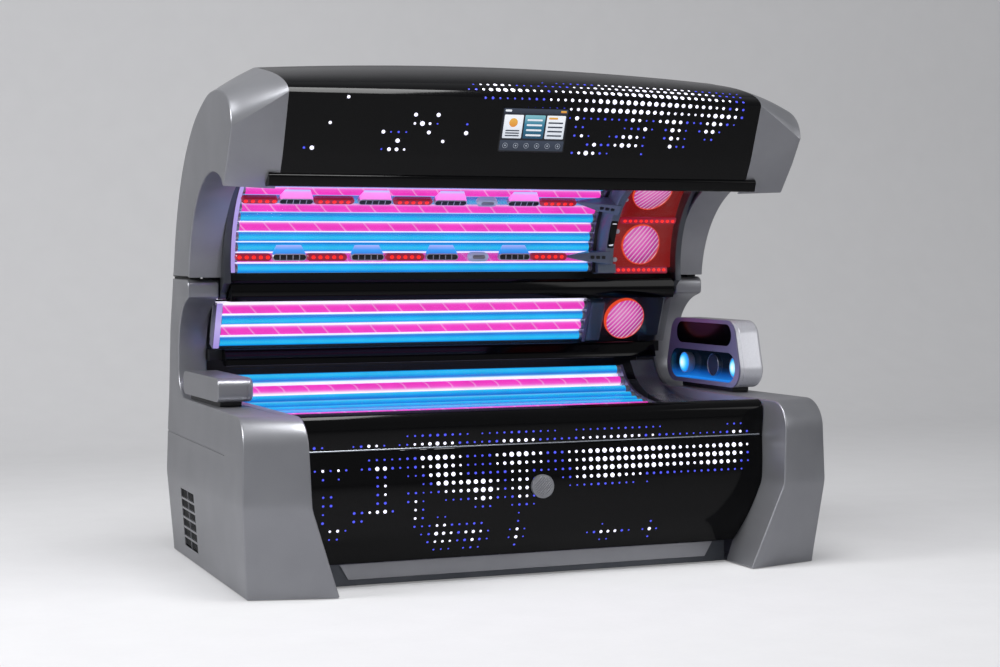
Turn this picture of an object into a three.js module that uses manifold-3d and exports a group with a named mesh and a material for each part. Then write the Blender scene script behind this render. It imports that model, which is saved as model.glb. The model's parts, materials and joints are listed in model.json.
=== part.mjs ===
// Clamshell tanning bed: a bench and a hinged canopy of lamps between hollow silver end covers.
// Millimetres. X runs along the bed from the foot end to the head end, the front is -Y, Z is up.
// The origin is on the floor under the middle of the bed, and the canopy stands open.

import * as THREE from "three";
import { mergeVertices } from "three/addons/utils/BufferGeometryUtils.js";
import Module from "manifold-3d";

const wasm = await Module();
wasm.setup();

// Overall sizes and fits
const LENGTH = 2400;
const DEPTH = 1460;
const WALL = 4;
const GAP = 0.3;
const HALF = LENGTH / 2;
const FRONT = -DEPTH / 2;
const REAR = DEPTH / 2;

// Base covers
const FLOOR_CLEARANCE = 3;
const KINK_HEIGHT = 334;
const BASE_HEIGHT = 658;
const NOSE_RADIUS = 112;
const NOSE_SWEEP = 84;
const NOSE_TUCK = 50;
const SIDE_TAPER = 0.04;
const SIDE_TUCK = 26;
const COVER_WIDTH_AT_FLOOR = 352;
const COVER_WIDTH_AT_KINK = 236;
const COVER_WIDTH_AT_TOP = 223;
const RISER_WIDTH = 174;
const RISER_STEP = 0.5;
const RISER_FOOT = 398;
const FILLET_RADIUS = 112;
const HOOK_RADIUS = 219;
const SHOULDER_RADIUS = 30;

// Canopy hinge and its counterbalance
const HINGE_Y = 345;
const HINGE_RISE = 432;
const HINGE_COVER = 45;
const HINGE_Z = BASE_HEIGHT + HINGE_RISE;
const RISER_HEIGHT = HINGE_Z + HINGE_COVER;
const SHAFT_RADIUS = 14;
const BEARING_CLEARANCE = 0.5;
const EYE_RADIUS = 36;
const CRANK_LENGTH = 165;
const CRANK_REST = -20;
const CRANK_WIDTH = 24;
const PIN_RADIUS = 8;
const ROD_RADIUS = 8;
const CYLINDER_RADIUS = 16;

// Canopy
const SEAM = 8;
const COVER_DEPTH = 222;
const ARCH_Y = -135;
const ARCH_Z = HINGE_Z + 18;
const ARCH_RADIUS = 438;
const ARCH_EDGE = 179;
const CROWN = 33;
const RIB_THICKNESS = 26.7;
const SCREEN_WIDTH = 276;
const SCREEN_HEIGHT = 178;

// Canopy lamp bay, a set of arcs about one line along the bed
const BAY_RADIUS = 400;
const BAY_TO_HINGE = 95;
const BAY_Y = HINGE_Y - BAY_TO_HINGE - BAY_RADIUS;
const BAY_Z = HINGE_Z + 100;
const BAY_START = 0;
const BAY_END = 115;
const ARC_STEP = 5;
const ACRYLIC = 4;
const BAY_DEPTH = 52;
const SHEET = 3;
const LAMP_RADIUS = 19;
const LAMP_COUNT = 17;
const LAMP_SIDES = 8;
const HOLDER = 12;
const FACE_BAY = 594;
const PARTITION_WIDTH = 84;
const PARTITION_START = HALF - FACE_BAY;
const PARTITION_END = PARTITION_START + PARTITION_WIDTH;
const FACE_LAMP_RADIUS = 85;

// Side lamp bay behind the bench
const SIDE_BAY_Y = 350;
const SIDE_BAY_TOP = HINGE_Z - 45;
const SIDE_BAY_TILT = 21.1;
const SIDE_BAY_DEPTH = 55;
const SIDE_LAMP_COUNT = 4;
const LOW_RAIL_RISE = 110;
const LOW_RAIL_HEIGHT = 80;
const LOW_RAIL_BOTTOM = BASE_HEIGHT + LOW_RAIL_RISE;
const LOW_RAIL_TOP = LOW_RAIL_BOTTOM + LOW_RAIL_HEIGHT;

// Bench
const BENCH_ACRYLIC = 6;
const BENCH_CLEARANCE = 7;
const BENCH_BAY_DEPTH = 54;
const BENCH_HEAD = 180;
const BENCH_HALF = HALF - COVER_WIDTH_AT_TOP - BENCH_CLEARANCE;
const BENCH_LAMP_END = BENCH_HALF - BENCH_HEAD;

// Floor pan and front panel
const PAN_SHEET = 6;
const PAN_FRONT = -468;
const PAN_REAR = 660;
const PAN_MARGIN = 90;
const PAN_HALF = HALF - PAN_MARGIN;
const FOOT_MARGIN = 380;
const FOOT_WIDTH = 120;
const LIP_HEIGHT = 147;
const PANEL_TOP = BASE_HEIGHT - LIP_HEIGHT;
const PANEL_BOTTOM = 92;
const PANEL_SHEET = 4;
const SWING_CLEARANCE = 1.4;
const PANEL_BELLY = PANEL_TOP - 156;
const KNOB_RADIUS = 45;

// Vents and fan
const VENT_WIDTH = 250;
const VENT_HEIGHT = 235;
const VENT_SLOTS = 6;
const FAN_RADIUS = 150;
const FAN_Z = 330;
const FAN_BLADES = 5;

// Head console and foot pod
const CONSOLE_Y = 73;
const CONSOLE_RISE = 20;
const CONSOLE_HEIGHT = 279;
const CONSOLE_DEPTH = 120;
const CONSOLE_SETBACK = 50;
const CONSOLE_HALF = 322;
const CONSOLE_SHOULDER = 287;
const CONSOLE_BOTTOM = BASE_HEIGHT + CONSOLE_RISE;
const CONSOLE_TOP = CONSOLE_BOTTOM + CONSOLE_HEIGHT;
const CONSOLE_BACK = HALF - CONSOLE_SETBACK;
const CONSOLE_FACE = CONSOLE_BACK - CONSOLE_DEPTH;
const CONSOLE_CORNER = 75;
const NOZZLE_RADIUS = 46;
const NOZZLE_SPREAD = 224;
const RECESS_Z = CONSOLE_BOTTOM + 81;
const RECESS_HEIGHT = 126;
const RECESS_DEPTH = 58;
const NECK_HEIGHT = 20;
const POD_SETBACK = 52;
const POD_WIDTH = 126;
const POD_HEIGHT = 92;

const material = (color, roughness, metalness = 0) =>
  new THREE.MeshStandardMaterial({ color, roughness, metalness });
const silver = material(0x8f9093, 0.35, 0.6);
const gloss = material(0x08080a, 0.12);
const satin = material(0x17181b, 0.45);
const steel = material(0x6d7076, 0.4, 0.8);
const zinc = material(0xa9adb3, 0.35, 0.7);
const clear = material(0xcfd6ee, 0.08);
const lamp = material(0xb9a9f2, 0.3);
const faceLamp = material(0xf08a9c, 0.3);
const lavender = material(0xb3b0cf, 0.35, 0.2);
const pearl = material(0xd9d9e2, 0.3, 0.2);

// Two coordinates that show the outline of a section across each axis.
const SECTION_OF = { x: [1, 2], y: [2, 0], z: [0, 1] };
const PLACE_ON = {
  x: ([u, v], w) => [w, u, v],
  y: ([u, v], w) => [u, w, v],
  z: ([u, v], w) => [u, v, w],
};

const radians = THREE.MathUtils.degToRad;
const polar = (u, v, radius, angle) => [
  u + radius * Math.cos(radians(angle)),
  v + radius * Math.sin(radians(angle)),
];

// Straight-line reading of a table of [position, value] pairs.
function along(table, at) {
  const next = table.findIndex(([position]) => position >= at);
  if (next <= 0) {
    return next === 0 ? table[0][1] : table.at(-1)[1];
  }
  const [p0, v0] = table[next - 1];
  const [p1, v1] = table[next];
  return v0 + ((v1 - v0) * (at - p0)) / (p1 - p0);
}

function arc(u, v, radius, from, to, steps) {
  return Array.from({ length: steps + 1 }, (_, i) => polar(u, v, radius, from + ((to - from) * i) / steps));
}

function circle(u, v, radius, sides = 16) {
  return arc(u, v, radius, 0, 360, sides).slice(0, -1);
}

// Outline of a piece of a ring, with its corners on a common angular grid so that nested rings keep their gaps.
function sector(u, v, inner, outer, from, to) {
  const steps = Math.round((to - from) / ARC_STEP);
  return [...arc(u, v, outer, from, to, steps), ...arc(u, v, inner, to, from, steps)];
}

function rectangle(u0, u1, v0, v1) {
  return [[u0, v0], [u1, v0], [u1, v1], [u0, v1]];
}

function roundedRectangle(u0, u1, v0, v1, radius) {
  return [
    ...arc(u1 - radius, v0 + radius, radius, -90, 0, 4),
    ...arc(u1 - radius, v1 - radius, radius, 0, 90, 4),
    ...arc(u0 + radius, v1 - radius, radius, 90, 180, 4),
    ...arc(u0 + radius, v0 + radius, radius, 180, 270, 4),
  ];
}

function curve(points, steps) {
  const spline = new THREE.SplineCurve(points.map(([u, v]) => new THREE.Vector2(u, v)));
  return spline.getPoints(steps).map((p) => [p.x, p.y]);
}

function bend(start, control, end, steps) {
  const points = [start, control, end].map(([u, v]) => new THREE.Vector2(u, v));
  return new THREE.QuadraticBezierCurve(...points).getPoints(steps).map((p) => [p.x, p.y]);
}

// Points moved off a path to its left by a distance, mitred at the bends.
function offset(path, distance, loop = false) {
  const last = path.length - 1;
  const heading = (a, b) => new THREE.Vector2(b[0] - a[0], b[1] - a[1]).normalize();
  return path.map((point, i) => {
    const before = i > 0 ? path[i - 1] : loop && path[last];
    const after = i < last ? path[i + 1] : loop && path[0];
    const arriving = heading(before || point, before ? point : after);
    const leaving = heading(after ? point : before, after || point);
    const reach = distance / (1 + arriving.dot(leaving));
    return [point[0] - (arriving.y + leaving.y) * reach, point[1] + (arriving.x + leaving.x) * reach];
  });
}

// Outline of a sheet that follows a path between two distances to its left.
function band(path, near, far) {
  return [...offset(path, near), ...offset(path, far).reverse()];
}

function volumeOf(position, index) {
  const corners = [new THREE.Vector3(), new THREE.Vector3(), new THREE.Vector3()];
  let volume = 0;
  for (let i = 0; i < index.length; i += 3) {
    corners.forEach((corner, k) => corner.fromBufferAttribute(position, index[i + k]));
    volume += corners[0].dot(corners[1].cross(corners[2]));
  }
  return volume;
}

// A closed geometry from points and triangles, with shared corners merged and its faces turned outwards.
function closed(points, triangles) {
  const loose = new THREE.BufferGeometry();
  loose.setAttribute("position", new THREE.Float32BufferAttribute(points.flat(), 3));
  loose.setIndex(triangles.flat());
  const merged = mergeVertices(loose, 1e-3);
  const index = [];
  for (let i = 0; i < merged.index.count; i += 3) {
    const corners = [0, 1, 2].map((k) => merged.index.getX(i + k));
    if (new Set(corners).size === 3) {
      index.push(...corners);
    }
  }
  merged.setIndex(volumeOf(merged.attributes.position, index) < 0 ? index.reverse() : index);
  return merged;
}

function capOf(ring, axis) {
  const [u, v] = SECTION_OF[axis];
  const outline = ring.map((point) => new THREE.Vector2(point[u], point[v]));
  const turn = Math.sign(THREE.ShapeUtils.area(outline));
  return THREE.ShapeUtils.triangulateShape(outline, []).map((triangle) => {
    const area = THREE.ShapeUtils.area(triangle.map((i) => outline[i]));
    return area * turn < 0 ? [...triangle].reverse() : triangle;
  });
}

// A solid through rings of matching points, one after another along an axis, with flat ends.
function loft(rings, axis) {
  const size = rings[0].length;
  const end = (rings.length - 1) * size;
  const triangles = capOf(rings[0], axis).map((triangle) => [...triangle].reverse());
  for (let start = 0; start < end; start += size) {
    for (let i = 0; i < size; i++) {
      const a = start + i;
      const b = start + ((i + 1) % size);
      triangles.push([a, b, b + size], [a, b + size, a + size]);
    }
  }
  triangles.push(...capOf(rings.at(-1), axis).map((triangle) => triangle.map((i) => i + end)));
  return closed(rings.flat(), triangles);
}

function prism(outline, axis, from, to) {
  return loft([from, to].map((w) => outline.map((point) => PLACE_ON[axis](point, w))), axis);
}

function box(x0, x1, y0, y1, z0, z1) {
  return prism(rectangle(x0, x1, y0, y1), "z", z0, z1);
}

function toSolid(geometry) {
  const bare = new THREE.BufferGeometry();
  bare.setAttribute("position", geometry.attributes.position);
  bare.setIndex(geometry.index);
  const merged = mergeVertices(bare, 1e-4);
  return new wasm.Manifold(
    new wasm.Mesh({
      numProp: 3,
      vertProperties: new Float32Array(merged.attributes.position.array),
      triVerts: new Uint32Array(merged.index.array),
    }),
  );
}

function toGeometry(solid) {
  const mesh = solid.getMesh();
  const geometry = new THREE.BufferGeometry();
  geometry.setAttribute("position", new THREE.Float32BufferAttribute(mesh.vertProperties, 3));
  geometry.setIndex(Array.from(mesh.triVerts));
  return geometry;
}

function join(...geometries) {
  return toGeometry(geometries.map(toSolid).reduce((sum, solid) => sum.add(solid)));
}

function cut(geometry, ...tools) {
  return toGeometry(tools.map(toSolid).reduce((rest, tool) => rest.subtract(tool), toSolid(geometry)));
}

function mirrored(geometry) {
  const copy = geometry.clone();
  copy.scale(-1, 1, 1);
  copy.setIndex(Array.from(geometry.index.array).reverse());
  return copy;
}

function piece(parent, name, geometry, finish) {
  const mesh = new THREE.Mesh(geometry, finish);
  mesh.name = name;
  parent.add(mesh);
}

// The same piece at the head end and, mirrored, at the foot end.
function pair(parent, name, geometry, finish) {
  piece(parent, `${name}_right`, geometry, finish);
  piece(parent, `${name}_left`, mirrored(geometry), finish);
}

const bed = new THREE.Group();
const canopyPivot = new THREE.Group();
canopyPivot.position.set(0, HINGE_Y, HINGE_Z);
const canopy = new THREE.Group();
canopy.position.set(0, -HINGE_Y, -HINGE_Z);
canopyPivot.add(canopy);
bed.add(canopyPivot);

// Side faces of the covers: widest at the kink, drawn in below and a little above it, tapering to the back.
function sideX(y, z) {
  const tuck = along([[FLOOR_CLEARANCE, SIDE_TUCK], [KINK_HEIGHT, 0], [BASE_HEIGHT, 8]], z);
  return HALF - tuck - SIDE_TAPER * (y - FRONT - NOSE_SWEEP);
}

function coverInnerX(z) {
  const widths = [
    [FLOOR_CLEARANCE, COVER_WIDTH_AT_FLOOR],
    [KINK_HEIGHT, COVER_WIDTH_AT_KINK],
    [BASE_HEIGHT, COVER_WIDTH_AT_TOP],
  ];
  return HALF - along(widths, z);
}

const RISER_X = HALF - RISER_WIDTH;
const NOSE_Z = BASE_HEIGHT - NOSE_RADIUS;
const SHOULDER_Y = HINGE_Y - 37;
const RISER_WAIST = BASE_HEIGHT + 263;

function coverRearY(z) {
  const insets = [[FLOOR_CLEARANCE, 18], [KINK_HEIGHT, 0], [NOSE_Z, 8], [RISER_WAIST, 54], [RISER_HEIGHT, 121]];
  return REAR - along(insets, z);
}

// Front edge of the lower body: a leaning foot, a kink, an upright nose and a quarter round onto the top.
function coverFrontY(z) {
  if (z <= NOSE_Z) {
    return FRONT + along([[FLOOR_CLEARANCE, NOSE_TUCK], [KINK_HEIGHT, 0], [NOSE_Z, 8]], z);
  }
  return FRONT + 8 + NOSE_RADIUS - Math.sqrt(NOSE_RADIUS ** 2 - (z - NOSE_Z) ** 2);
}

// Front edge of the riser: a fillet up from the top face, a hook forward to the hinge and a round shoulder.
function riserFront(inset) {
  const filletZ = BASE_HEIGHT + FILLET_RADIUS;
  const hookY = RISER_FOOT + FILLET_RADIUS - HOOK_RADIUS;
  const top = RISER_HEIGHT - SHOULDER_RADIUS;
  const edge = [
    ...arc(RISER_FOOT, filletZ, FILLET_RADIUS, -90, 0, 4),
    ...arc(hookY, filletZ + 70, HOOK_RADIUS, 0, 75, 5),
    [SHOULDER_Y, HINGE_Z - 26 + inset],
    ...arc(SHOULDER_Y + SHOULDER_RADIUS, top, SHOULDER_RADIUS, 180, 90, 3),
  ];
  const lowest = BASE_HEIGHT - inset;
  const highest = RISER_HEIGHT - inset;
  const between = edge.slice(1, -1).filter(([, z]) => z < highest - 1);
  return [[edge[0][0], lowest], ...between, [edge.at(-1)[0], highest]].map(([y, z]) => [y + inset, z]);
}

function coverRing(z, frontY, innerX, sweep, inset) {
  const outerY = frontY + sweep;
  const rearY = coverRearY(z) - inset;
  return [
    [innerX, frontY, z],
    [sideX(outerY, z) - inset, outerY, z],
    [sideX(rearY, z) - inset, rearY, z],
    [innerX, rearY, z],
  ];
}

function baseCoverForm(inset) {
  const nose = [18, 36, 54, 72].map((angle) => NOSE_Z + NOSE_RADIUS * Math.sin(radians(angle)));
  const levels = [FLOOR_CLEARANCE + inset, KINK_HEIGHT, NOSE_Z, ...nose, BASE_HEIGHT - inset];
  const lower = levels.map((z) =>
    coverRing(z, coverFrontY(z) + inset, coverInnerX(z) + inset, NOSE_SWEEP, inset),
  );
  const riser = riserFront(inset).map(([y, z]) => coverRing(z, y, RISER_X + inset, 0, inset + RISER_STEP));
  return loft([...lower, ...riser], "z");
}

// Moves a shape whose X is measured out from the side face onto that face.
function onSide(geometry) {
  const position = geometry.attributes.position;
  for (let i = 0; i < position.count; i++) {
    position.setX(i, position.getX(i) + sideX(position.getY(i), position.getZ(i)));
  }
  return geometry;
}

const BALLASTS = 10;
const VENT_Y = 206;
const VENT_Z = 55;
const PAN_BOTTOM = FLOOR_CLEARANCE + WALL + GAP;
const PAN_TOP = PAN_BOTTOM + PAN_SHEET;
const CRANK_X = RISER_X + 34;
const YOKE_X = CRANK_X + 16;
const YOKE_THICKNESS = 16;
const POST_X = YOKE_X + YOKE_THICKNESS / 2 + CYLINDER_RADIUS + 1;
const POST_THICKNESS = 17;
const ROD_Y = HINGE_Y + 200;
const [PIN_Y, PIN_Z] = polar(HINGE_Y, HINGE_Z, CRANK_LENGTH, CRANK_REST);

function baseCover() {
  const insideX = HALF - COVER_WIDTH_AT_FLOOR - 50;
  const top = BASE_HEIGHT - 58;
  const opening = box(insideX, RISER_X - 16, PAN_FRONT - WALL, PAN_REAR + WALL * 2, PAN_BOTTOM - GAP, top);
  const bearing = prism(circle(HINGE_Y, HINGE_Z, SHAFT_RADIUS + 2), "x", RISER_X - 10, RISER_X + 10);
  const crankSlot = box(CRANK_X - 8, POST_X, SHOULDER_Y + 82, ROD_Y + 21, RISER_HEIGHT - 20, RISER_HEIGHT + 10);
  const vent = onSide(box(-20, 20, VENT_Y, VENT_Y + VENT_WIDTH, VENT_Z, VENT_Z + VENT_HEIGHT));
  const groove = onSide(box(-2, 20, -350, REAR + 20, NOSE_Z - 46, NOSE_Z - 42));
  return cut(baseCoverForm(0), baseCoverForm(WALL), opening, bearing, crankSlot, vent, groove);
}

function ventGrille() {
  const pitch = VENT_HEIGHT / VENT_SLOTS;
  const edge = 8;
  const plate = box(
    -WALL, 0, VENT_Y + GAP, VENT_Y + VENT_WIDTH - GAP, VENT_Z + GAP, VENT_Z + VENT_HEIGHT - GAP,
  );
  const slots = Array.from({ length: VENT_SLOTS }, (_, i) => {
    const bottom = VENT_Z + i * pitch + edge;
    return box(-20, 20, VENT_Y + edge * 2, VENT_Y + VENT_WIDTH - edge * 2, bottom, bottom + pitch - edge * 2);
  });
  return onSide(cut(plate, ...slots));
}

pair(bed, "base_cover", baseCover(), silver);
pair(bed, "vent_grille", ventGrille(), satin);

// Floor pan, feet and what stands on the pan
const KICK_TOP = PANEL_BOTTOM - 4;
const KICK_HALF = coverInnerX(FLOOR_CLEARANCE) - GAP * 10;
const FOOT_END = HALF - FOOT_MARGIN;
const floorPan = join(
  box(-PAN_HALF, PAN_HALF, PAN_FRONT, PAN_REAR, PAN_BOTTOM, PAN_TOP),
  box(5 - KICK_HALF, KICK_HALF - 5, PAN_FRONT, PAN_FRONT + WALL, PAN_BOTTOM, KICK_TOP),
);
piece(bed, "floor_pan", floorPan, steel);
const foot = box(FOOT_END - FOOT_WIDTH, FOOT_END, PAN_FRONT + 38, PAN_REAR - 40, 0, PAN_BOTTOM - GAP);
pair(bed, "foot", foot, satin);

function ballastTray() {
  const bottom = PAN_TOP + GAP;
  const trayHalf = FOOT_END - 20;
  const reach = trayHalf - 80;
  const blocks = Array.from({ length: BALLASTS }, (_, i) => {
    const x = (2 * reach * i) / (BALLASTS - 1) - reach;
    return box(x - 30, x + 30, -250, 50, bottom + 1, bottom + 62);
  });
  return join(box(-trayHalf, trayHalf, -300, 100, bottom, bottom + SHEET), ...blocks);
}

piece(bed, "ballast_tray", ballastTray(), zinc);

const kickStrip = box(-KICK_HALF, KICK_HALF, PAN_FRONT - PAN_SHEET, PAN_FRONT - GAP, 30, KICK_TOP);
piece(bed, "kick_strip", kickStrip, silver);

// Front panel: a bowed sheet under the lip, with a turning latch knob
function panelFrontY(z) {
  const section = [
    [PANEL_TOP, -540],
    [PANEL_TOP - 81, -550],
    [PANEL_BELLY, -553],
    [PANEL_TOP - 241, -546],
    [PANEL_TOP - 331, -522],
    [PANEL_BOTTOM, -478],
  ];
  return along(curve(section, 20).reverse(), z);
}

function frontPanel() {
  const steps = 10;
  const rings = Array.from({ length: steps + 1 }, (_, i) => {
    const z = PANEL_BOTTOM + ((PANEL_TOP - PANEL_BOTTOM) * i) / steps;
    const half = coverInnerX(z) - 3 * GAP - along([[PANEL_BOTTOM, SWING_CLEARANCE], [PANEL_BOTTOM + 90, 0]], z);
    const y = panelFrontY(z);
    return rectangle(-half, half, y, y + PANEL_SHEET).map(([u, v]) => [u, v, z]);
  });
  const spindleHole = prism(circle(0, PANEL_BELLY, 6 + BEARING_CLEARANCE), "y", -600, -500);
  return cut(loft(rings, "z"), spindleHole);
}

function latchKnob() {
  const seat = panelFrontY(PANEL_BELLY) - GAP * 2;
  const behind = seat + PANEL_SHEET + GAP * 8;
  return join(
    prism(circle(0, PANEL_BELLY, KNOB_RADIUS, 32), "y", seat - 18, seat),
    prism(circle(0, PANEL_BELLY, 6), "y", seat - 4, behind + 4),
    box(-8, 8, behind, behind + 6, PANEL_BELLY - 10, PANEL_BELLY + 40),
  );
}

piece(bed, "front_panel", frontPanel(), gloss);
piece(bed, "front_panel_knob", latchKnob(), zinc);

// Bench: a dished clear sheet over a bank of lamps, with a rounded lip along the front
const benchSection = [[-482, -8], [-250, -30], [0, -40], [200, -18], [320, 32], [388, LOW_RAIL_RISE - 6]];
const benchPath = curve(benchSection.map(([y, rise]) => [y, BASE_HEIGHT + rise]), 20);
const lampsFrom = BENCH_ACRYLIC + GAP;
const lampsTo = lampsFrom + BENCH_BAY_DEPTH;

// Centres of evenly spaced tubes at a depth under the bench path.
function benchLampCentres() {
  const depth = offset(benchPath.slice(1, -1), -(lampsFrom + BENCH_BAY_DEPTH / 2));
  const spline = new THREE.SplineCurve(depth.map(([y, z]) => new THREE.Vector2(y, z)));
  return spline.getSpacedPoints(LAMP_COUNT - 1).map((p) => [p.x, p.y]);
}

function tubes(centres, from, to) {
  return centres.map(([y, z]) => prism(circle(y, z, LAMP_RADIUS, LAMP_SIDES), "x", from, to));
}

function benchLamps() {
  const holder = band(benchPath, -lampsFrom, -lampsTo);
  const start = -BENCH_HALF + 5;
  return join(
    prism(holder, "x", start, start + HOLDER),
    prism(holder, "x", BENCH_LAMP_END, BENCH_LAMP_END + HOLDER),
    ...tubes(benchLampCentres(), start + HOLDER / 2, BENCH_LAMP_END + HOLDER / 2),
  );
}

function benchSupport() {
  const under = offset(benchPath, -(lampsTo + SHEET + GAP * 2)).filter(([y]) => y > -450 && y < 400);
  const foot = PAN_TOP + GAP;
  const outline = [[under[0][0], foot], ...under, [under.at(-1)[0], foot]];
  return prism(outline, "x", BENCH_HALF - 40, BENCH_HALF - 34);
}

const benchPartition = prism(
  band(benchPath.slice(2, -2), -lampsFrom, -lampsTo),
  "x",
  BENCH_LAMP_END + HOLDER + GAP,
  BENCH_LAMP_END + 60,
);
const reflectorFrom = lampsTo + GAP;
piece(bed, "bench_acrylic", prism(band(benchPath, 0, -BENCH_ACRYLIC), "x", -BENCH_HALF, BENCH_HALF), clear);
piece(bed, "bench_lamps", benchLamps(), lamp);
piece(bed, "bench_partition", benchPartition, lavender);
piece(
  bed,
  "bench_reflector",
  prism(band(benchPath, -reflectorFrom, -reflectorFrom - SHEET), "x", 5 - BENCH_HALF, BENCH_HALF - 10),
  zinc,
);
pair(bed, "bench_support", benchSupport(), steel);

function frontLip() {
  const flange = PANEL_TOP + 3 * GAP;
  const roll = arc(-500, BASE_HEIGHT - 48, 46, 170, 95, 5);
  const path = [[-500, flange], [-540, flange], [-546, BASE_HEIGHT - 78], ...roll, [-486, BASE_HEIGHT - 6]];
  return prism(band(path, 0, -5), "x", GAP - coverInnerX(flange), coverInnerX(flange) - GAP);
}

piece(bed, "front_lip", frontLip(), gloss);

// Rear panel, cooling fan and cable gland
const PANEL_INSET = 6;
const GLAND_X = FOOT_WIDTH - FOOT_END;
const GLAND_Z = 120;
const FAN_BACK = coverRearY(FAN_Z - FAN_RADIUS - 20) - PANEL_INSET - SHEET - GAP * 2;

function rearPanel() {
  const ring = (z, half) => {
    const y = coverRearY(z) - PANEL_INSET;
    return rectangle(-half, half, y - SHEET, y).map(([u, v]) => [u, v, z]);
  };
  const rings = [
    ...[PAN_TOP + 2, KINK_HEIGHT, NOSE_Z, BASE_HEIGHT + GAP].map((z) => ring(z, coverInnerX(z) - GAP)),
    ...[BASE_HEIGHT + GAP, RISER_WAIST, RISER_HEIGHT - 2].map((z) => ring(z, RISER_X - GAP)),
  ];
  const airway = prism(circle(0, FAN_Z, FAN_RADIUS + 2, 32), "y", REAR - 60, REAR + 10);
  const cableHole = prism(circle(GLAND_X, GLAND_Z, 12 + GAP), "y", REAR - 60, REAR + 10);
  return cut(loft(rings, "z"), airway, cableHole);
}

function fanHousing() {
  const front = FAN_BACK - 70;
  const ring = cut(
    prism(circle(0, FAN_Z, FAN_RADIUS + 20, 32), "y", front, FAN_BACK),
    prism(circle(0, FAN_Z, FAN_RADIUS, 32), "y", front - 1, FAN_BACK + 1),
  );
  const spokes = [box(-FAN_RADIUS - 5, FAN_RADIUS + 5, front, front + 8, FAN_Z - 8, FAN_Z + 8)];
  spokes.push(box(-8, 8, front, front + 8, FAN_Z - FAN_RADIUS - 5, FAN_Z + FAN_RADIUS + 5));
  const motor = prism(circle(0, FAN_Z, 40), "y", front, front + 24);
  const shaftBore = prism(circle(0, FAN_Z, 6 + BEARING_CLEARANCE), "y", front + 10, front + 30);
  return cut(join(ring, ...spokes, motor), shaftBore);
}

function fanRotor() {
  const front = FAN_BACK - 70;
  const hub = prism(circle(0, FAN_Z, 38), "y", front + 25, FAN_BACK - 12);
  const shaft = prism(circle(0, FAN_Z, 6), "y", front + 12, front + 30);
  const blades = Array.from({ length: FAN_BLADES }, (_, i) => {
    const blade = box(30, FAN_RADIUS - 4, -2, 2, -26, 26);
    blade.rotateX(radians(35));
    blade.rotateY((2 * Math.PI * i) / FAN_BLADES);
    blade.translate(0, FAN_BACK - 27, FAN_Z);
    return blade;
  });
  return join(hub, shaft, ...blades);
}

const glandFace = coverRearY(GLAND_Z) - PANEL_INSET + 1.5;
const gland = join(
  prism(circle(GLAND_X, GLAND_Z, 12), "y", glandFace - 16, glandFace + 4),
  prism(circle(GLAND_X, GLAND_Z, 18, 6), "y", glandFace, glandFace + 9),
);
piece(bed, "rear_panel", rearPanel(), satin);
piece(bed, "fan_housing", fanHousing(), satin);
piece(bed, "fan_rotor", fanRotor(), satin);
piece(bed, "mains_gland", gland, satin);

// Uprights and counterbalances, hidden in the risers
const BRACKET_X = RISER_X + 10;
const POST_REAR = 600;

function upright() {
  const low = HINGE_Z - 24;
  const high = HINGE_Z + 28;
  const frame = join(
    box(POST_X, POST_X + POST_THICKNESS, ROD_Y, POST_REAR, PAN_TOP + GAP, high),
    box(BRACKET_X, POST_X + POST_THICKNESS, POST_REAR - 28, POST_REAR, low, high),
    box(BRACKET_X, BRACKET_X + 20, HINGE_Y - 20, POST_REAR, low, high),
  );
  const bearing = circle(HINGE_Y, HINGE_Z, SHAFT_RADIUS + BEARING_CLEARANCE);
  return cut(frame, prism(bearing, "x", BRACKET_X - 10, BRACKET_X + 30));
}

const ROD_X = YOKE_X + YOKE_THICKNESS / 2;
const CYLINDER_TOP = HINGE_Z - 190;
const CYLINDER_BOTTOM = CYLINDER_TOP - 420;
const ROD_BOTTOM = CYLINDER_BOTTOM + 80;

function liftCylinder() {
  const barrel = prism(circle(ROD_X, ROD_Y, CYLINDER_RADIUS), "z", CYLINDER_BOTTOM, CYLINDER_TOP);
  const block = box(ROD_X, POST_X - GAP, ROD_Y - 12, ROD_Y + 14, CYLINDER_BOTTOM, CYLINDER_BOTTOM + 50);
  const bore = circle(ROD_X, ROD_Y, ROD_RADIUS + 0.4);
  return cut(join(barrel, block), prism(bore, "z", ROD_BOTTOM - 10, CYLINDER_TOP + 1));
}

// The crank pin rides in the yoke's slot, which is long enough for the pin's swing.
function liftRod() {
  const half = PIN_RADIUS + 1.5;
  const yoke = box(YOKE_X, YOKE_X + YOKE_THICKNESS, PIN_Y - 22, ROD_Y + 15, PIN_Z - 22, PIN_Z + 22);
  const slot = box(YOKE_X - 1, YOKE_X + 30, PIN_Y - half - 6, PIN_Y + half + 10.5, PIN_Z - half, PIN_Z + half);
  const rod = prism(circle(ROD_X, ROD_Y, ROD_RADIUS), "z", ROD_BOTTOM, PIN_Z - 10);
  return cut(join(yoke, rod), slot);
}

pair(bed, "upright", upright(), steel);
pair(bed, "lift_cylinder", liftCylinder(), satin);
pair(bed, "lift_rod", liftRod(), zinc);

// Rails across the back of the bench
const RAIL_RADIUS = 92;
const MID_RAIL_TOP = HINGE_Z + 40;
const MID_RAIL_BOTTOM = HINGE_Z - 44;
const RAIL_REAR = HINGE_Y + 49;
const RIB_X = HALF - ARCH_EDGE - GAP - RIB_THICKNESS;

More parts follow.
